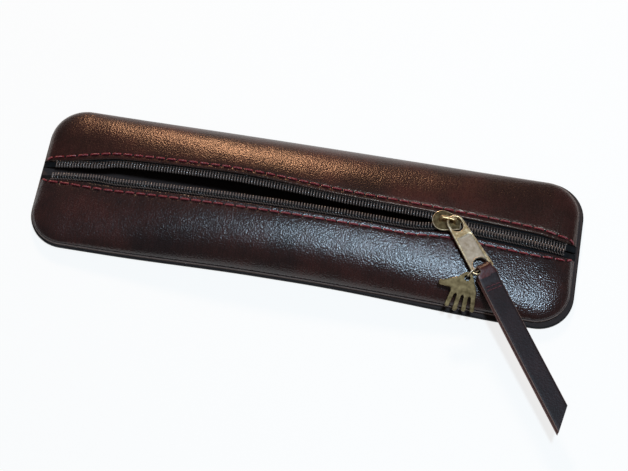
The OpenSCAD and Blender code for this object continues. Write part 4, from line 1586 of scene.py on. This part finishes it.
def camera():
    azimuth, elevation = math.radians(CAMERA_AZIMUTH), math.radians(CAMERA_ELEVATION)
    level = math.cos(elevation)
    away = Vector((math.sin(azimuth) * level, -math.cos(azimuth) * level, math.sin(elevation)))
    data = bpy.data.cameras.new("camera")
    data.sensor_width = CAMERA_SENSOR
    data.lens = CAMERA_LENS
    data.clip_start = CAMERA_CLIP
    bpy.context.scene.camera = aimed("camera", data, Vector(CAMERA_TARGET) + away * CAMERA_DISTANCE, -away)


def floor():
    """A wide level floor just under the case."""
    rows = [-FLOOR_HALF + 2 * FLOOR_HALF * i / FLOOR_STEPS for i in range(FLOOR_STEPS + 1)]
    shape = Shape()
    shape.rings([[(x, y, FLOOR_Z) for y in rows] for x in rows], closed=False)
    shape.piece("floor", finishes("floor"))


def world():
    """The even light from all round."""
    sky = bpy.data.worlds.new("studio")
    bpy.context.scene.world = sky
    sky.use_nodes = True
    back = sky.node_tree.nodes["Background"]
    back.inputs["Color"].default_value = (1, 1, 1, 1)
    back.inputs["Strength"].default_value = bpy.context.scene.pen_case_sizes.sky_level


# ---------------------------------------------------------------- the add-on


class PenCaseSizes(bpy.types.PropertyGroup):
    seam_valley: FloatProperty(
        name="Seam valley", description="How deep the stitch rows sit in the leather",
        default=0.00012, min=0, max=0.0006, unit="LENGTH", precision=5,
    )
    pucker: FloatProperty(
        name="Pucker", description="Extra depth at each needle hole",
        default=0.00012, min=0, max=0.0004, unit="LENGTH", precision=5,
    )
    hand_finish: FloatProperty(
        name="Hand finish", description="Height of the slow unevenness of the domed leather",
        default=0.00022, min=0, max=0.0006, unit="LENGTH", precision=5,
    )
    sky_level: FloatProperty(
        name="Sky level", description="Strength of the even light from all round",
        default=0.15, min=0, max=1, subtype="FACTOR",
    )


def colour_property(name, description, code):
    return FloatVectorProperty(
        name=name, description=description, default=linear(code), min=0, max=1, size=3, subtype="COLOR"
    )


class PenCaseColours(bpy.types.PropertyGroup):
    leather: colour_property("Leather", "Dye of the case's leather", "#2e1512")
    # A little warmer than the leather, as painted warm light on the far panel rather than a different dye
    leather_far: colour_property("Far leather", "Dye of the far front panel, a little warmer", "#301615")
    strap: colour_property("Strap", "Dye of the pull strap", "#231517")
    thread: colour_property("Thread", "Colour of the visible stitching", "#6c101a")
    nylon: colour_property("Tape", "Colour of the zip's tape", "#080708")
    # Light grey-brown on a black nylon coil, as painted highlight for the shine on its turns
    coil: colour_property("Coil", "Colour of the zip's coil", "#70615a")
    brass: colour_property("Brass", "Antique brass plating of the slider", "#5a4a33")


class MakePanels(bpy.types.Operator):
    """Makes the back panel and the two domed front panels"""
    bl_idname = "pen_case.make_panels"
    bl_label = "Leather panels"

    def execute(self, context):
        back_panel()
        for side in SIDES:
            front_panel(side)
        return {"FINISHED"}


class MakeStitching(bpy.types.Operator):
    """Makes the red stitch rows, the end tacks and the hidden rim seam"""
    bl_idname = "pen_case.make_stitching"
    bl_label = "Stitching"

    def execute(self, context):
        for side in SIDES:
            panel_stitching(side)
        end_tacks()
        rim_seam()
        return {"FINISHED"}


class MakeZip(bpy.types.Operator):
    """Makes the tapes, coils, filler cords and chain stitching of the zip"""
    bl_idname = "pen_case.make_zip"
    bl_label = "Zip"

    def execute(self, context):
        for side in SIDES:
            for stretch in STRETCHES[side]:
                zipper_tape(side, stretch)
                coil(side, stretch)
                filler_cord(side, stretch)
                coil_stitching(side, stretch)
        return {"FINISHED"}


class MakeSlider(bpy.types.Operator):
    """Makes the slider's body and its bridge"""
    bl_idname = "pen_case.make_slider"
    bl_label = "Slider"

    def execute(self, context):
        slider_body()
        slider_bridge()
        return {"FINISHED"}


class MakePull(bpy.types.Operator):
    """Makes the pull tab, the folded strap and its stitching"""
    bl_idname = "pen_case.make_pull"
    bl_label = "Pull tab and strap"

    def execute(self, context):
        pull_tab()
        pull_strap()
        strap_stitching()
        return {"FINISHED"}


class MakeCharm(bpy.types.Operator):
    """Makes the jump ring and the hand charm"""
    bl_idname = "pen_case.make_charm"
    bl_label = "Ring and charm"

    def execute(self, context):
        jump_ring()
        hand_charm()
        return {"FINISHED"}


class MakeStage(bpy.types.Operator):
    """Makes the white floor, the soft lights and the camera"""
    bl_idname = "pen_case.make_stage"
    bl_label = "Stage"

    def execute(self, context):
        context.scene.view_settings.view_transform = "Standard"
        floor()
        world()
        camera()
        for settings in LAMPS:
            lamp(*settings)
        return {"FINISHED"}


MAKERS = (MakePanels, MakeStitching, MakeZip, MakeSlider, MakePull, MakeCharm, MakeStage)


class PenCasePanel(bpy.types.Panel):
    bl_idname = "VIEW3D_PT_pen_case"
    bl_label = "Pen case"
    bl_space_type = "VIEW_3D"
    bl_region_type = "UI"
    bl_category = "Pen case"

    def draw(self, context):
        for group in (context.scene.pen_case_sizes, context.scene.pen_case_colours):
            box = self.layout.box()
            for name in group.bl_rna.properties.keys():
                if name not in ("rna_type", "name"):
                    box.prop(group, name)
        for maker in MAKERS:
            self.layout.operator(maker.bl_idname)


CLASSES = (PenCaseSizes, PenCaseColours, *MAKERS, PenCasePanel)


def register():
    for made in CLASSES:
        bpy.utils.register_class(made)
    bpy.types.Scene.pen_case_sizes = PointerProperty(type=PenCaseSizes)
    bpy.types.Scene.pen_case_colours = PointerProperty(type=PenCaseColours)


def unregister():
    del bpy.types.Scene.pen_case_colours
    del bpy.types.Scene.pen_case_sizes
    for made in reversed(CLASSES):
        bpy.utils.unregister_class(made)


def main():
    register()
    for maker in MAKERS:
        group, name = maker.bl_idname.split(".")
        getattr(getattr(bpy.ops, group), name)()


if __name__ == "__main__":
    main()
